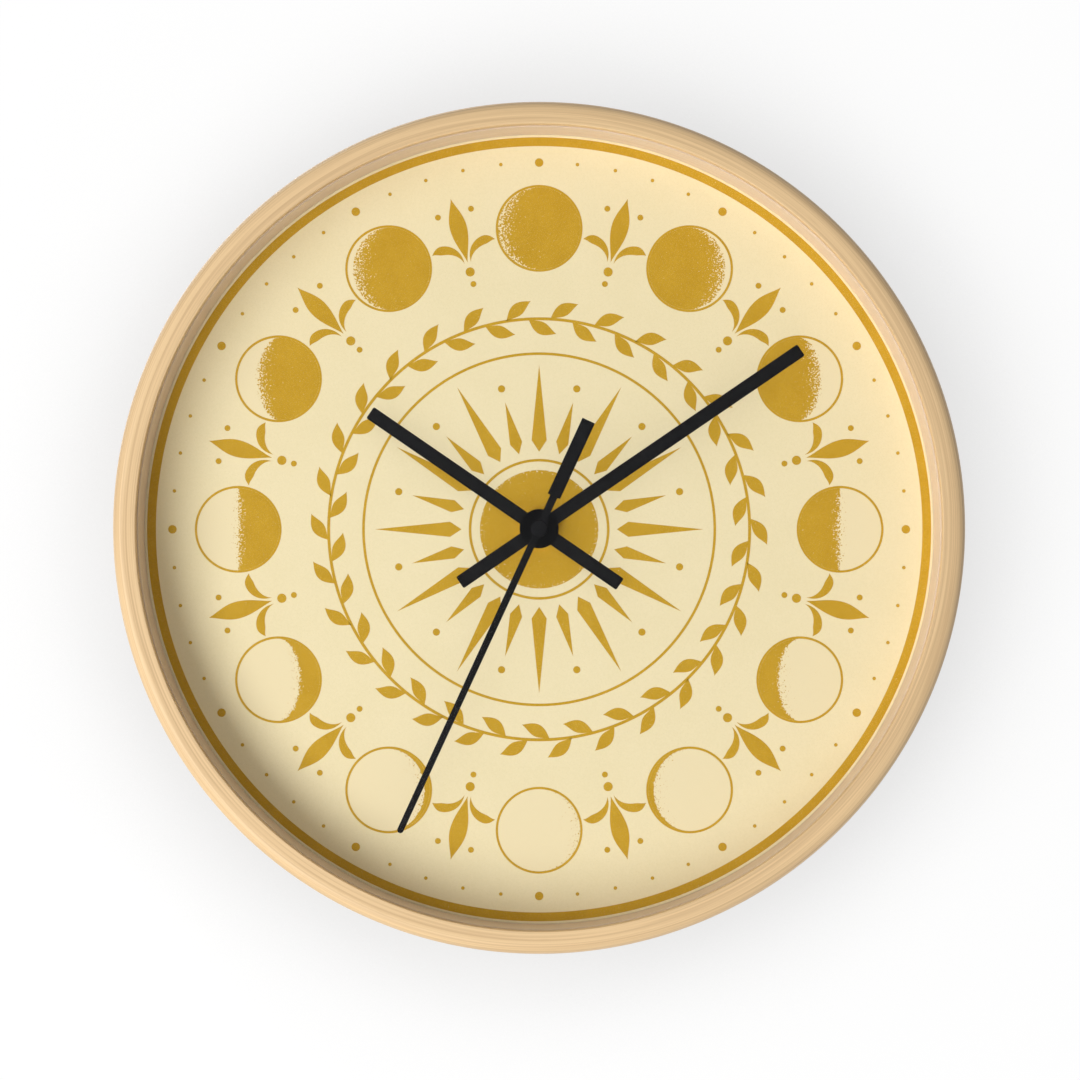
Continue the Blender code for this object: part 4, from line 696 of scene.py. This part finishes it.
SCREW_THREAD_RADIUS = 0.0010
SCREW_HEAD_RADIUS = 0.0020
SCREW_HEAD_HEIGHT = 0.0012
SCREW_HEAD_ROUND = 0.0008
SCREW_SEAT = 0.12105
SCREW_LENGTH = 0.0040
THREAD_END = 0.0032
THREAD_PITCH = 0.0005
THREAD_TURNS = 6
THREAD_CORE = 0.78
CROSS_WIDTH = 0.0005
CROSS_REACH = 0.0011
CROSS_DEPTH = 0.0007
CROSS_TAPER = 0.55
CROSS_OVERCUT = 0.0002
SCREW_STEPS = 48
SCREW_BREAK = 0.0001
THREAD_TIP = 0.4
THREAD_TIP_TAPER = 0.0002
EASED_ABOVE = 32


def cross_space(head_top):
    """The space that a driver's cross tip fills, from just over the screw's head down into it."""
    half = CROSS_WIDTH / 2
    arm = [(CROSS_REACH, -half), (CROSS_REACH, half), (half, half)]
    outline = []
    for _ in range(4):
        outline += arm
        arm = [(-y, x) for x, y in arm]
    shape = bmesh.new()
    levels = ((head_top - CROSS_OVERCUT, 1.0), (head_top + CROSS_DEPTH, CROSS_TAPER))
    rows = [[shape.verts.new((x * share, y * share, z)) for x, y in outline] for z, share in levels]
    for row in rows:
        shape.faces.new(row)
    for i in range(len(outline)):
        j = (i + 1) % len(outline)
        shape.faces.new((rows[0][i], rows[0][j], rows[1][j], rows[1][i]))
    return shape


def eased(node_name, edge):
    """The node's own shape, with its faces joined up and its sharp edges broken by that much."""
    shape = bmesh.new()
    shape.from_mesh(frame["nodes"][node_name].data)
    bmesh.ops.remove_doubles(shape, verts=shape.verts, dist=2e-6)
    bmesh.ops.dissolve_limit(shape, angle_limit=math.radians(1), verts=shape.verts, edges=shape.edges)
    if edge:
        limit = math.radians(EASED_ABOVE)
        corners = [e for e in shape.edges if len(e.link_faces) == 2 and e.calc_face_angle() > limit]
        bmesh.ops.bevel(
            shape, geom=corners, offset=edge, segments=2, profile=0.5, affect="EDGES", clamp_overlap=True
        )
    return shape


def dressed(node_name, name, finish, edge=0.0):
    """Shows the node's own shape in one finish, with its sharp edges broken by that much."""
    return put_in_place(eased(node_name, edge), name, [finish], node_name)


zinc_tones = tone(196, 198, 200), tone(176, 178, 184)
zinc = speckled("zinc_plated_steel", *zinc_tones, 420.0, 0.38, 0.000006, metallic=1.0, swing=0.25)
screw_end = SCREW_SEAT + SCREW_LENGTH
thread = [(0, screw_end), (SCREW_THREAD_RADIUS * THREAD_TIP, screw_end - THREAD_TIP_TAPER)]
for thread_turn in range(THREAD_TURNS):
    crest = SCREW_SEAT + THREAD_END - THREAD_PITCH * thread_turn
    thread += [(SCREW_THREAD_RADIUS, crest), (SCREW_THREAD_RADIUS * THREAD_CORE, crest - THREAD_PITCH / 2)]
skirt = SCREW_SEAT - SCREW_HEAD_HEIGHT + SCREW_HEAD_ROUND
head = [
    (SCREW_THREAD_RADIUS, SCREW_SEAT),
    (SCREW_HEAD_RADIUS - SCREW_BREAK, SCREW_SEAT),
    (SCREW_HEAD_RADIUS, SCREW_SEAT - SCREW_BREAK),
    (SCREW_HEAD_RADIUS, skirt),
]
head += arc((SCREW_HEAD_RADIUS - SCREW_HEAD_ROUND, skirt), SCREW_HEAD_ROUND, 0, -90, 6)
head += [(0, SCREW_SEAT - SCREW_HEAD_HEIGHT)]
for number, direction in enumerate(SCREW_DIRECTIONS, 1):
    angle_node, screw_node = f"board_clip_{number}", f"clip_screw_{number}"
    dressed(angle_node, f"bent_angle_{number}", zinc, edge=0.00015)
    screw = cut(lathe(thread + head, SCREW_STEPS), cross_space(SCREW_SEAT - SCREW_HEAD_HEIGHT))
    screw.transform(BENCH @ radially(direction, SCREW_HEIGHT))
    put_in_place(screw, f"cross_screw_{number}", [zinc], screw_node)

# The hanger. It is a zinc-plated steel strap, punched with a keyhole for the nail and stepped back to
# the wall above the movement. The movement's nut clamps its lower end against the board.

dressed("hanger_bracket", "stepped_hanger", zinc, edge=0.0002)

# The rubber washer. It is punched from black rubber sheet and lies on the movement's bushing between the
# hanger and the board, where it takes up the play as the nut is tightened.

rubber_tones = tone(34, 34, 35), tone(46, 46, 47)
rubber = speckled("black_rubber_sheet", *rubber_tones, 1800.0, 0.85, 0.00002, specular=0.3)
dressed("rubber_washer", "sheet_rubber_washer", rubber, edge=0.0001)

# The brass washer and nut in front of the dial. They pull the movement up against the board from behind,
# and the hands' hub hides most of them.

brass_tones = tone(214, 178, 96), tone(198, 160, 78)
brass = speckled("turned_brass", *brass_tones, 700.0, 0.30, 0.000004, metallic=1.0, swing=0.2)
dressed("dial_washer", "brass_washer", brass, edge=0.00008)
dressed("shaft_nut", "brass_hexagon_nut", brass, edge=0.0002)

# The movement's mouldings. The front case and the rear cover are moulded in black plastic with a fine
# spark-eroded grain, and the bearing plate between them in milky plastic. They snap together round the train.

grained_tones = tone(31, 31, 32), tone(40, 40, 41)
grained = speckled("grained_black_plastic", *grained_tones, 2600.0, 0.50, 0.00003, specular=0.35)
milky = speckled("milky_plastic", tone(232, 230, 222), tone(224, 221, 211), 1400.0, 0.42, 0.00001)
dressed("movement_case", "moulded_front_case", grained, edge=0.00015)
dressed("middle_plate", "moulded_bearing_plate", milky, edge=0.0001)
cover = dressed("movement_cover", "moulded_rear_cover", grained, edge=0.00015)

# The stepping motor. The yoke and the core are stamped iron, the spool is moulded in white plastic, and
# the winding is enamelled copper wire laid side by side.

iron = speckled("stamped_iron", tone(150, 150, 150), tone(128, 129, 132), 900.0, 0.42, 0.000006, metallic=1.0)
dressed("stator", "stamped_yoke", iron, edge=0.00008)
dressed("coil_core", "stamped_core", iron, edge=0.00008)
dressed("coil_bobbin", "moulded_spool", milky, edge=0.00008)
wire, tree, shader, place = new_finish("enamelled_copper_wire", 0.32, metallic=1.0)
laid = {"Vector": place, "Scale": 1700.0, "Distortion": 0.4}
turns = node(tree, "TexWave", laid, bands_direction="X").outputs["Fac"]
enamel = blended(tree, maths(tree, "MULTIPLY", turns, 0.5), tone(206, 118, 74), tone(150, 70, 40))
surfaced(tree, shader, enamel, stretched(tree, turns, 0, 1, 0.28, 0.42), turns, 0.00004)
dressed("coil_winding", "wound_copper", wire)

# The going train. The rotor is a dark magnet on a plastic pinion, the wheels are moulded in milky plastic
# and the centre arbor is a bright steel wire that runs out to the second hand.

steel_tones = tone(206, 207, 209), tone(190, 191, 194)
steel = speckled("bright_drawn_steel", *steel_tones, 900.0, 0.24, 0.000002, metallic=1.0)
magnet_tones = tone(74, 74, 78), tone(60, 60, 64)
magnet = speckled("sintered_magnet", *magnet_tones, 1600.0, 0.45, 0.000008, metallic=0.8)


def near_axis(shape, reach, middle=(0.0, 0.0), other="y"):
    """Gives the faces within reach of an axis the piece's second finish."""
    for face in shape.faces:
        spots = [(corner.co.x - middle[0], getattr(corner.co, other) - middle[1]) for corner in face.verts]
        if all(math.hypot(*spot) < reach for spot in spots):
            face.material_index = 1
    return shape


ARBOR = (0.0, -NAIL_TO_ARBOR)
ARBOR_REACH = 0.00056
ROTOR_ARBOR = (0.0122756, -0.0390347)
ROTOR_PINION_REACH = 0.0019
rotor = near_axis(eased("rotor", 0.00005), ROTOR_PINION_REACH, ROTOR_ARBOR, "z")
put_in_place(rotor, "magnet_and_pinion", [magnet, milky], "rotor")
dressed("intermediate_wheel", "first_reduction_wheel", milky)
seconds_wheel = near_axis(eased("second_wheel", 0.0), ARBOR_REACH, ARBOR, "z")
put_in_place(seconds_wheel, "seconds_wheel_on_arbor", [milky, steel], "second_wheel")
dressed("third_wheel", "second_reduction_wheel", milky)
dressed("centre_wheel", "friction_wheel", milky)

# The motion work. The minute tube is turned in brass with its pinion, and the hour wheel and the wheel
# between them are milky plastic. All three sit behind the dial, in front of the bearing plate.

dressed("cannon_pinion", "brass_minute_tube", brass)
dressed("motion_wheel", "motion_wheel_and_pinion", milky)
dressed("hour_wheel", "hour_tube_and_wheel", milky)

# The setting knob. It is moulded in the same black plastic as the case, fluted for the thumb, on a long
# shaft with its own gear that turns the hands.

knob = dressed("setting_knob", "fluted_setting_knob", grained, edge=0.0001)

# The circuit. A small green board carries the crystal in its steel can and the chip under a drop of
# black resin. It is pressed on two posts of the case.

circuit, tree, shader, place = new_finish("green_circuit_board", 0.4)
tracks = node(tree, "TexVoronoi", {"Vector": place, "Scale": 420.0}, distance="CHEBYCHEV").outputs["Distance"]
track_share = stretched(tree, tracks, 0.30, 0.34)
green = blended(tree, track_share, tone(38, 104, 58), tone(62, 136, 78))
surfaced(tree, shader, green, stretched(tree, tracks, 0, 1, 0.35, 0.5), track_share, 0.00003)
dressed("circuit_board", "green_circuit", circuit, edge=0.00005)
dressed("quartz_crystal", "crystal_can", steel, edge=0.0002)
resin = speckled("black_resin", tone(22, 22, 23), tone(28, 28, 29), 500.0, 0.3, 0.00002)
dressed("chip_blob", "resin_drop", resin)

# The contacts. Both are stamped from nickel-plated spring strip and stand at the ends of the bay. The
# flat end's is a bowed leaf, and the nub's is a plain strip that runs to the circuit.

nickel_tones = tone(206, 203, 196), tone(190, 186, 178)
nickel = speckled("nickel_plated_strip", *nickel_tones, 800.0, 0.25, 0.000003, metallic=1.0)
dressed("contact_plus", "nub_contact", nickel, edge=0.00005)
dressed("contact_minus", "bowed_contact", nickel, edge=0.00005)

# The cell. It is one AA cell: a steel can in a printed film sleeve that is shrunk over both shoulders,
# with a raised nub at one end. It slides out of the bay towards the wall.

cell_low, cell_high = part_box("battery")
CELL_RADIUS = (cell_high.y - cell_low.y) / 2
CELL_LENGTH = cell_high.x - cell_low.x
NUB_RADIUS = 0.00275
NUB_LENGTH = 0.0012
NUB_ROUND = 0.0004
SLEEVE_LAP = 0.0013
SLEEVE_ROUND = 0.0006
SLEEVE_FILM = 0.0003
SLEEVE_SLOPE = 0.0004
NUB_FOOT = 0.0004
BAND_LENGTH = 0.0128
PRINT_EDGE = 0.0001
CELL_STEPS = 96
FINISH_MARGIN = 0.0001

shoulder = CELL_LENGTH - NUB_LENGTH
sleeve_mouth = CELL_RADIUS - SLEEVE_LAP
sleeve_core = CELL_RADIUS - SLEEVE_ROUND
cell_profile = [(0, SLEEVE_FILM), (sleeve_mouth - SLEEVE_SLOPE, SLEEVE_FILM), (sleeve_mouth, 0.0)]
cell_profile += arc((sleeve_core, SLEEVE_ROUND), SLEEVE_ROUND, -90, 0, 6)
cell_profile += arc((sleeve_core, shoulder - SLEEVE_ROUND), SLEEVE_ROUND, 0, 90, 6)
cell_profile += [
    (sleeve_mouth, shoulder),
    (sleeve_mouth - SLEEVE_FILM, shoulder - SLEEVE_FILM),
    (NUB_RADIUS + NUB_FOOT, shoulder - SLEEVE_FILM),
    (NUB_RADIUS, shoulder),
]
cell_profile += arc((NUB_RADIUS - NUB_ROUND, CELL_LENGTH - NUB_ROUND), NUB_ROUND, 0, 90, 4)
cell_profile += [(0, CELL_LENGTH)]
cell = near_axis(lathe(cell_profile, CELL_STEPS), sleeve_mouth + FINISH_MARGIN)
middle = (cell_low + cell_high) / 2
lying = Matrix.Rotation(math.radians(90), 4, "Y")
cell.transform(Matrix.Translation((cell_low.x, middle.y, middle.z)) @ lying)
sleeve, tree, shader, place = new_finish("printed_film_sleeve", 0.28)
along = node(tree, "SeparateXYZ", {0: place}).outputs["X"]
band_start = cell_high.x - BAND_LENGTH
end_band = stretched(tree, along, band_start, band_start + PRINT_EDGE)
scuffs = node(tree, "TexNoise", {"Vector": place, "Scale": 260.0, "Detail": 4.0}).outputs[0]
printed_film = blended(tree, end_band, tone(56, 66, 80), tone(206, 208, 208))
film_colour = blended(tree, maths(tree, "MULTIPLY", scuffs, 0.12), printed_film, tone(150, 154, 158))
surfaced(tree, shader, film_colour, stretched(tree, scuffs, 0.3, 0.7, 0.22, 0.36), scuffs, 0.00001)
put_in_place(cell, "sleeved_cell", [sleeve, nickel], "battery")

# The hour and minute hands. Each is a flat bar stamped from aluminium sheet with a round hub, painted
# matt black, with painted shade that darkens the hub. The hour hand has a collet behind it, and both are
# pressed on their tubes.

HUB_RADIUS = 0.0059
BAR_WIDTH = 0.0041
BAR_CORNER = 0.0005
STAMPED_EDGE = 0.00008
HAND_SHEET = 0.0006
HOUR_HAND_REAR = 0.0312
HOUR_TIP = 0.0619
HOUR_TAIL = 0.0296
HOUR_HOLE = 0.0028
HOUR_SHOWN = 304.5
COLLET_RADIUS = 0.0037
COLLET_LENGTH = 0.0010
COLLET_STEPS = 48
MINUTE_HAND_REAR = 0.0334
MINUTE_TIP = 0.0954
MINUTE_TAIL = 0.0289
MINUTE_HOLE = 0.0018
MINUTE_SHOWN = 55.7


def bar_outline(tip, tail):
    """A bar through a round hub, pointing at twelve, with small round corners at both ends."""
    half = BAR_WIDTH / 2
    inset = half - BAR_CORNER
    lean = math.degrees(math.asin(half / HUB_RADIUS))
    right = arc((inset, BAR_CORNER - tail), BAR_CORNER, -90, 0, 6)
    right += arc((0, 0), HUB_RADIUS, lean - 90, 90 - lean, 40)
    right += arc((inset, tip - BAR_CORNER), BAR_CORNER, 0, 90, 6)
    return right + [(-x, y) for x, y in reversed(right)]


def stamped(outline, hole, rear, thickness):
    """A flat plate with a round hole at its middle, its outer edges just broken."""
    shape = bmesh.new()
    front = rear + thickness
    count = len(outline)
    inner = [(x * hole / math.hypot(x, y), y * hole / math.hypot(x, y)) for x, y in outline]
    rows = [
        [shape.verts.new((x, y, z)) for x, y in path]
        for path, z in ((inner, rear), (outline, rear), (outline, front), (inner, front))
    ]
    for one, other in zip(rows, rows[1:] + rows[:1]):
        for i in range(count):
            j = (i + 1) % count
            shape.faces.new((one[i], one[j], other[j], other[i]))
    rim = [e for e in shape.edges if any(all(v in row for v in e.verts) for row in rows[1:3])]
    bmesh.ops.bevel(shape, geom=rim, offset=STAMPED_EDGE, segments=2, profile=0.5, affect="EDGES")
    return shape


def add_turned(shape, profile, steps, closed=False):
    """Adds a turned part to a shape, such as the collet behind a hand or the cap on one."""
    part = lathe(profile, steps, closed)
    mesh = bpy.data.meshes.new("turned_part")
    part.to_mesh(mesh)
    part.free()
    shape.from_mesh(mesh)
    bpy.data.meshes.remove(mesh)


def set_to(shape, clockwise):
    """Turns a hand from twelve to the time that it shows, and hangs it on the wall."""
    shape.transform(BENCH @ Matrix.Rotation(-math.radians(clockwise), 4, "Z"))
    return shape


def black_paint(name):
    return speckled(name, tone(18, 18, 19), tone(24, 24, 26), 2600.0, 0.5, 0.00001, specular=0.05)


bar_black_with_hub_shade = black_paint("matt_black_paint_with_painted_hub_shade")
tree = bar_black_with_hub_shade.node_tree
shader = tree.nodes["Principled BSDF"]
paint = shader.inputs["Base Color"].links[0].from_socket
place = node(tree, "TexCoord").outputs["Object"]
reach = node(tree, "VectorMath", {0: off_arbor(tree, place)}, operation="LENGTH").outputs["Value"]
# Over the hub the black goes darker still: painted shade for the darkness that falls there between the hands.
painted_hub_shade = stretched(tree, reach, HUB_RADIUS - 0.0002, HUB_RADIUS + 0.0002, 1.0, 0.0)
tree.links.new(blended(tree, painted_hub_shade, paint, tone(3, 3, 4)), shader.inputs["Base Color"])
hour = stamped(bar_outline(HOUR_TIP, HOUR_TAIL), HOUR_HOLE, HOUR_HAND_REAR, HAND_SHEET)
collet_ends = (HOUR_HAND_REAR - COLLET_LENGTH, HOUR_HAND_REAR + HAND_SHEET / 2)
collet = [(HOUR_HOLE, collet_ends[0]), (COLLET_RADIUS, collet_ends[0])]
collet += [(COLLET_RADIUS, collet_ends[1]), (HOUR_HOLE, collet_ends[1])]
add_turned(hour, collet, COLLET_STEPS, closed=True)
put_in_place(set_to(hour, HOUR_SHOWN), "black_hour_bar", [bar_black_with_hub_shade], "hour_hand")
minute = stamped(bar_outline(MINUTE_TIP, MINUTE_TAIL), MINUTE_HOLE, MINUTE_HAND_REAR, HAND_SHEET)
put_in_place(set_to(minute, MINUTE_SHOWN), "black_minute_bar", [bar_black_with_hub_shade], "minute_hand")

# The second hand. It is a slim needle with a broad tail for balance, stamped from thinner sheet, on a
# small turned cap that is pushed over the end of the arbor.

SECOND_HAND_REAR = 0.03575
SECOND_HAND_SHEET = 0.0005
SECOND_SHOWN = 204.7
TAIL_HALF = 0.00205
TAIL_END = 0.0356
TAIL_START = 0.0106
NEEDLE_HALF = 0.0011
NEEDLE_TIP = 0.1006
NEEDLE_TIP_HALF = 0.00095
CAP_REAR = 0.0349
CAP_FRONT = 0.0371
CAP_RADIUS = 0.0025
CAP_BORE = 0.0008
CAP_FACE = 0.0003
CAP_MARGIN = 0.00001
CAP_STEPS = 64
BORE_STEPS = 32

needle = bmesh.new()
outline = [(TAIL_HALF, -TAIL_END), (TAIL_HALF, -TAIL_START), (NEEDLE_HALF, -TAIL_START), (NEEDLE_HALF, 0.0)]
outline += arc((0, NEEDLE_TIP - NEEDLE_TIP_HALF), NEEDLE_TIP_HALF, 0, 180, 10)
outline += [(-x, y) for x, y in reversed(outline[:4])]
foot_row = [needle.verts.new((x, y, SECOND_HAND_REAR)) for x, y in outline]
top_row = [needle.verts.new((x, y, SECOND_HAND_REAR + SECOND_HAND_SHEET)) for x, y in outline]
needle.faces.new(foot_row)
needle.faces.new(top_row)
for i in range(len(outline)):
    j = (i + 1) % len(outline)
    needle.faces.new((foot_row[i], foot_row[j], top_row[j], top_row[i]))
rim = [e for e in needle.edges if e.verts[0].co.z == e.verts[1].co.z]
bmesh.ops.bevel(needle, geom=rim, offset=STAMPED_EDGE, segments=2, profile=0.5, affect="EDGES")
bore = [(0, CAP_REAR), (CAP_BORE, CAP_REAR), (CAP_BORE, CAP_FRONT), (0, CAP_FRONT)]
needle = cut(needle, lathe(bore, BORE_STEPS))
bmesh.ops.remove_doubles(needle, verts=needle.verts, dist=1e-6)
cap_profile = [(0, CAP_FRONT - CAP_FACE), (CAP_BORE, CAP_FRONT - CAP_FACE), (CAP_BORE, CAP_REAR)]
cap_profile += [(CAP_RADIUS, CAP_REAR)]
cap_profile += arc((CAP_RADIUS - CAP_FACE, CAP_FRONT - CAP_FACE), CAP_FACE, 0, 90, 5)
cap_profile += [(0, CAP_FRONT)]
add_turned(needle, cap_profile, CAP_STEPS)
cap_tones = tone(20, 20, 21), tone(24, 24, 26)
cap_black = speckled("satin_black_paint", *cap_tones, 2600.0, 0.45, 0.00001, specular=0.05)
near_axis(needle, CAP_RADIUS + CAP_MARGIN)
needle_black = black_paint("needle_black_paint")
finishes = [needle_black, cap_black]
put_in_place(set_to(needle, SECOND_SHOWN), "black_needle_and_cap", finishes, "second_hand")

# The white wall behind the clock. It shows only from the front. Most of it is a white glow with painted
# shade, darker close to the clock where less of the room shows; the rest is paint that keeps the clock's real
# soft shadow. It lets every lamp through to the clock's back, so that no view is dark.

WALL_HALF = 2.5
WALL_GAP = 0.0006
SHADE_REACH = 0.09
DARKEST_GLOW = 0.82
BRIGHTEST_GLOW = 1.01
GLOW_SHARE = 0.88

wall_mesh = bpy.data.meshes.new("white_wall")
corners = [(-WALL_HALF, WALL_GAP, -WALL_HALF), (WALL_HALF, WALL_GAP, -WALL_HALF)]
corners += [(WALL_HALF, WALL_GAP, WALL_HALF), (-WALL_HALF, WALL_GAP, WALL_HALF)]
wall_mesh.from_pydata(corners, [], [(0, 1, 2, 3)])
wall = bpy.data.objects.new("white_wall", wall_mesh)
bpy.context.scene.collection.objects.link(wall)
wall_paint = bpy.data.materials.new("white_wall_paint")
wall_paint.use_nodes = True
tree = wall_paint.node_tree
shader = tree.nodes["Principled BSDF"]
shader.inputs["Base Color"].default_value = (0.97, 0.97, 0.975, 1)
shader.inputs["Roughness"].default_value = 0.9
shader.inputs["Specular IOR Level"].default_value = 0.0
# The glow carries painted shade: it is dimmer where the clock hides more of the room.
open_sky = node(tree, "AmbientOcclusion", {"Distance": SHADE_REACH}, samples=8).outputs["AO"]
glow_with_painted_shade = stretched(tree, open_sky, 0.60, 0.92, DARKEST_GLOW, BRIGHTEST_GLOW)
glow = node(tree, "Emission", {"Color": (1, 1, 1, 1), "Strength": glow_with_painted_shade})
lifted = node(tree, "MixShader", {0: GLOW_SHARE, 1: shader.outputs[0], 2: glow.outputs[0]})
path = node(tree, "LightPath").outputs
behind = node(tree, "NewGeometry").outputs["Backfacing"]
passes_light = maths(tree, "MAXIMUM", path["Is Shadow Ray"], path["Is Diffuse Ray"])
not_seen = maths(tree, "MAXIMUM", behind, passes_light)
gone = node(tree, "BsdfTransparent").outputs[0]
wall_mix = node(tree, "MixShader", {0: not_seen, 1: lifted.outputs[0], 2: gone})
tree.links.new(wall_mix.outputs[0], tree.nodes["Material Output"].inputs["Surface"])
wall_mesh.materials.append(wall_paint)

# The light. A broad soft box stands below and left of the clock, in a pale room that darkens away from it
# and is brighter behind. It passes the hands, whose shadows are faint. A weaker one lights the clock's back.

LIT_SIDE_LEVEL = 0.465
FAR_SIDE_LEVEL = 0.09
REAR_LEVEL = 0.45
TOWARDS_KEY = (-0.46, -0.80, -0.38)
MIDDLE = Vector((0, -0.0255, -NAIL_TO_ARBOR))
LAMP_DISTANCE = 1.6
KEY_CLOCKWISE = 238
KEY_OFF_AXIS = 40
KEY_SIZE = (2.4, 0.8)
KEY_POWER = 23.1
REAR_CLOCKWISE = 320
REAR_OFF_AXIS = 140
REAR_SIZE = (1.0, 1.0)
REAR_POWER = 17.0
HANDS = ("black_hour_bar", "black_minute_bar", "black_needle_and_cap")


def soft_box(name, clockwise, off_axis, size, power):
    """An area lamp that faces the clock's middle, tilted off its axis towards a clock angle."""
    lamp = bpy.data.lights.new(name, "AREA")
    lamp.shape = "ELLIPSE"
    lamp.size, lamp.size_y = size
    lamp.energy = power
    box = bpy.data.objects.new(name, lamp)
    bpy.context.scene.collection.objects.link(box)
    side, tilt = math.radians(clockwise), math.radians(off_axis)
    direction = Vector((math.sin(side) * math.sin(tilt), -math.cos(tilt), math.cos(side) * math.sin(tilt)))
    across = Vector((math.cos(side), 0, -math.sin(side)))
    axes = Matrix((across, direction.cross(across), direction)).transposed().to_4x4()
    box.matrix_world = Matrix.Translation(MIDDLE + direction * LAMP_DISTANCE) @ axes
    return box


key = soft_box("key_soft_box", KEY_CLOCKWISE, KEY_OFF_AXIS, KEY_SIZE, KEY_POWER)
past_the_key = bpy.data.collections.new("hands_that_the_key_passes")
for hand in HANDS:
    past_the_key.objects.link(bpy.data.objects[hand])
for hand in past_the_key.collection_objects:
    hand.light_linking.link_state = "EXCLUDE"
key.light_linking.blocker_collection = past_the_key
soft_box("rear_soft_box", REAR_CLOCKWISE, REAR_OFF_AXIS, REAR_SIZE, REAR_POWER)
world = bpy.data.worlds.new("pale_room")
world.use_nodes = True
bpy.context.scene.world = world
tree = world.node_tree
path = node(tree, "LightPath").outputs
mirrored = maths(tree, "MAXIMUM", path["Is Glossy Ray"], path["Is Transmission Ray"])
seen = maths(tree, "MAXIMUM", path["Is Camera Ray"], mirrored)
white = node(tree, "Background", {"Color": (1, 1, 1, 1), "Strength": 1.0})
direction = node(tree, "TexCoord").outputs["Generated"]
on_key_side = node(tree, "VectorMath", {0: direction, 1: TOWARDS_KEY}, operation="DOT_PRODUCT")
level = stretched(tree, on_key_side.outputs["Value"], -0.9, 0.9, FAR_SIDE_LEVEL, LIT_SIDE_LEVEL)
rearwards = node(tree, "SeparateXYZ", {0: direction}).outputs["Y"]
level = maths(tree, "ADD", level, stretched(tree, rearwards, 0.0, 0.5, 0.0, REAR_LEVEL))
room = node(tree, "Background", {"Color": (1, 1, 1, 1), "Strength": level})
world_mix = node(tree, "MixShader", {0: seen, 1: room.outputs[0], 2: white.outputs[0]})
tree.links.new(world_mix.outputs[0], tree.nodes["World Output"].inputs["Surface"])

# The camera. It stands square to the wall, 0.8 m in front of the ring and a little below the arbor, with
# a small shift that puts the ring where the photograph has it.

camera_data = bpy.data.cameras.new("camera")
camera_data.sensor_width = 36.0
camera_data.lens = 89.5
camera_data.shift_x = 0.0008
camera_data.shift_y = 0.0571
camera_data.clip_start = 0.01
camera_data.clip_end = 20.0
camera = bpy.data.objects.new("camera", camera_data)
bpy.context.scene.collection.objects.link(camera)
camera.location = (0.0, -0.842, -0.072)
camera.rotation_euler = (math.radians(90), 0, 0)
bpy.context.scene.camera = camera
bpy.context.scene.view_settings.view_transform = "Standard"

bpy.context.view_layer.update()
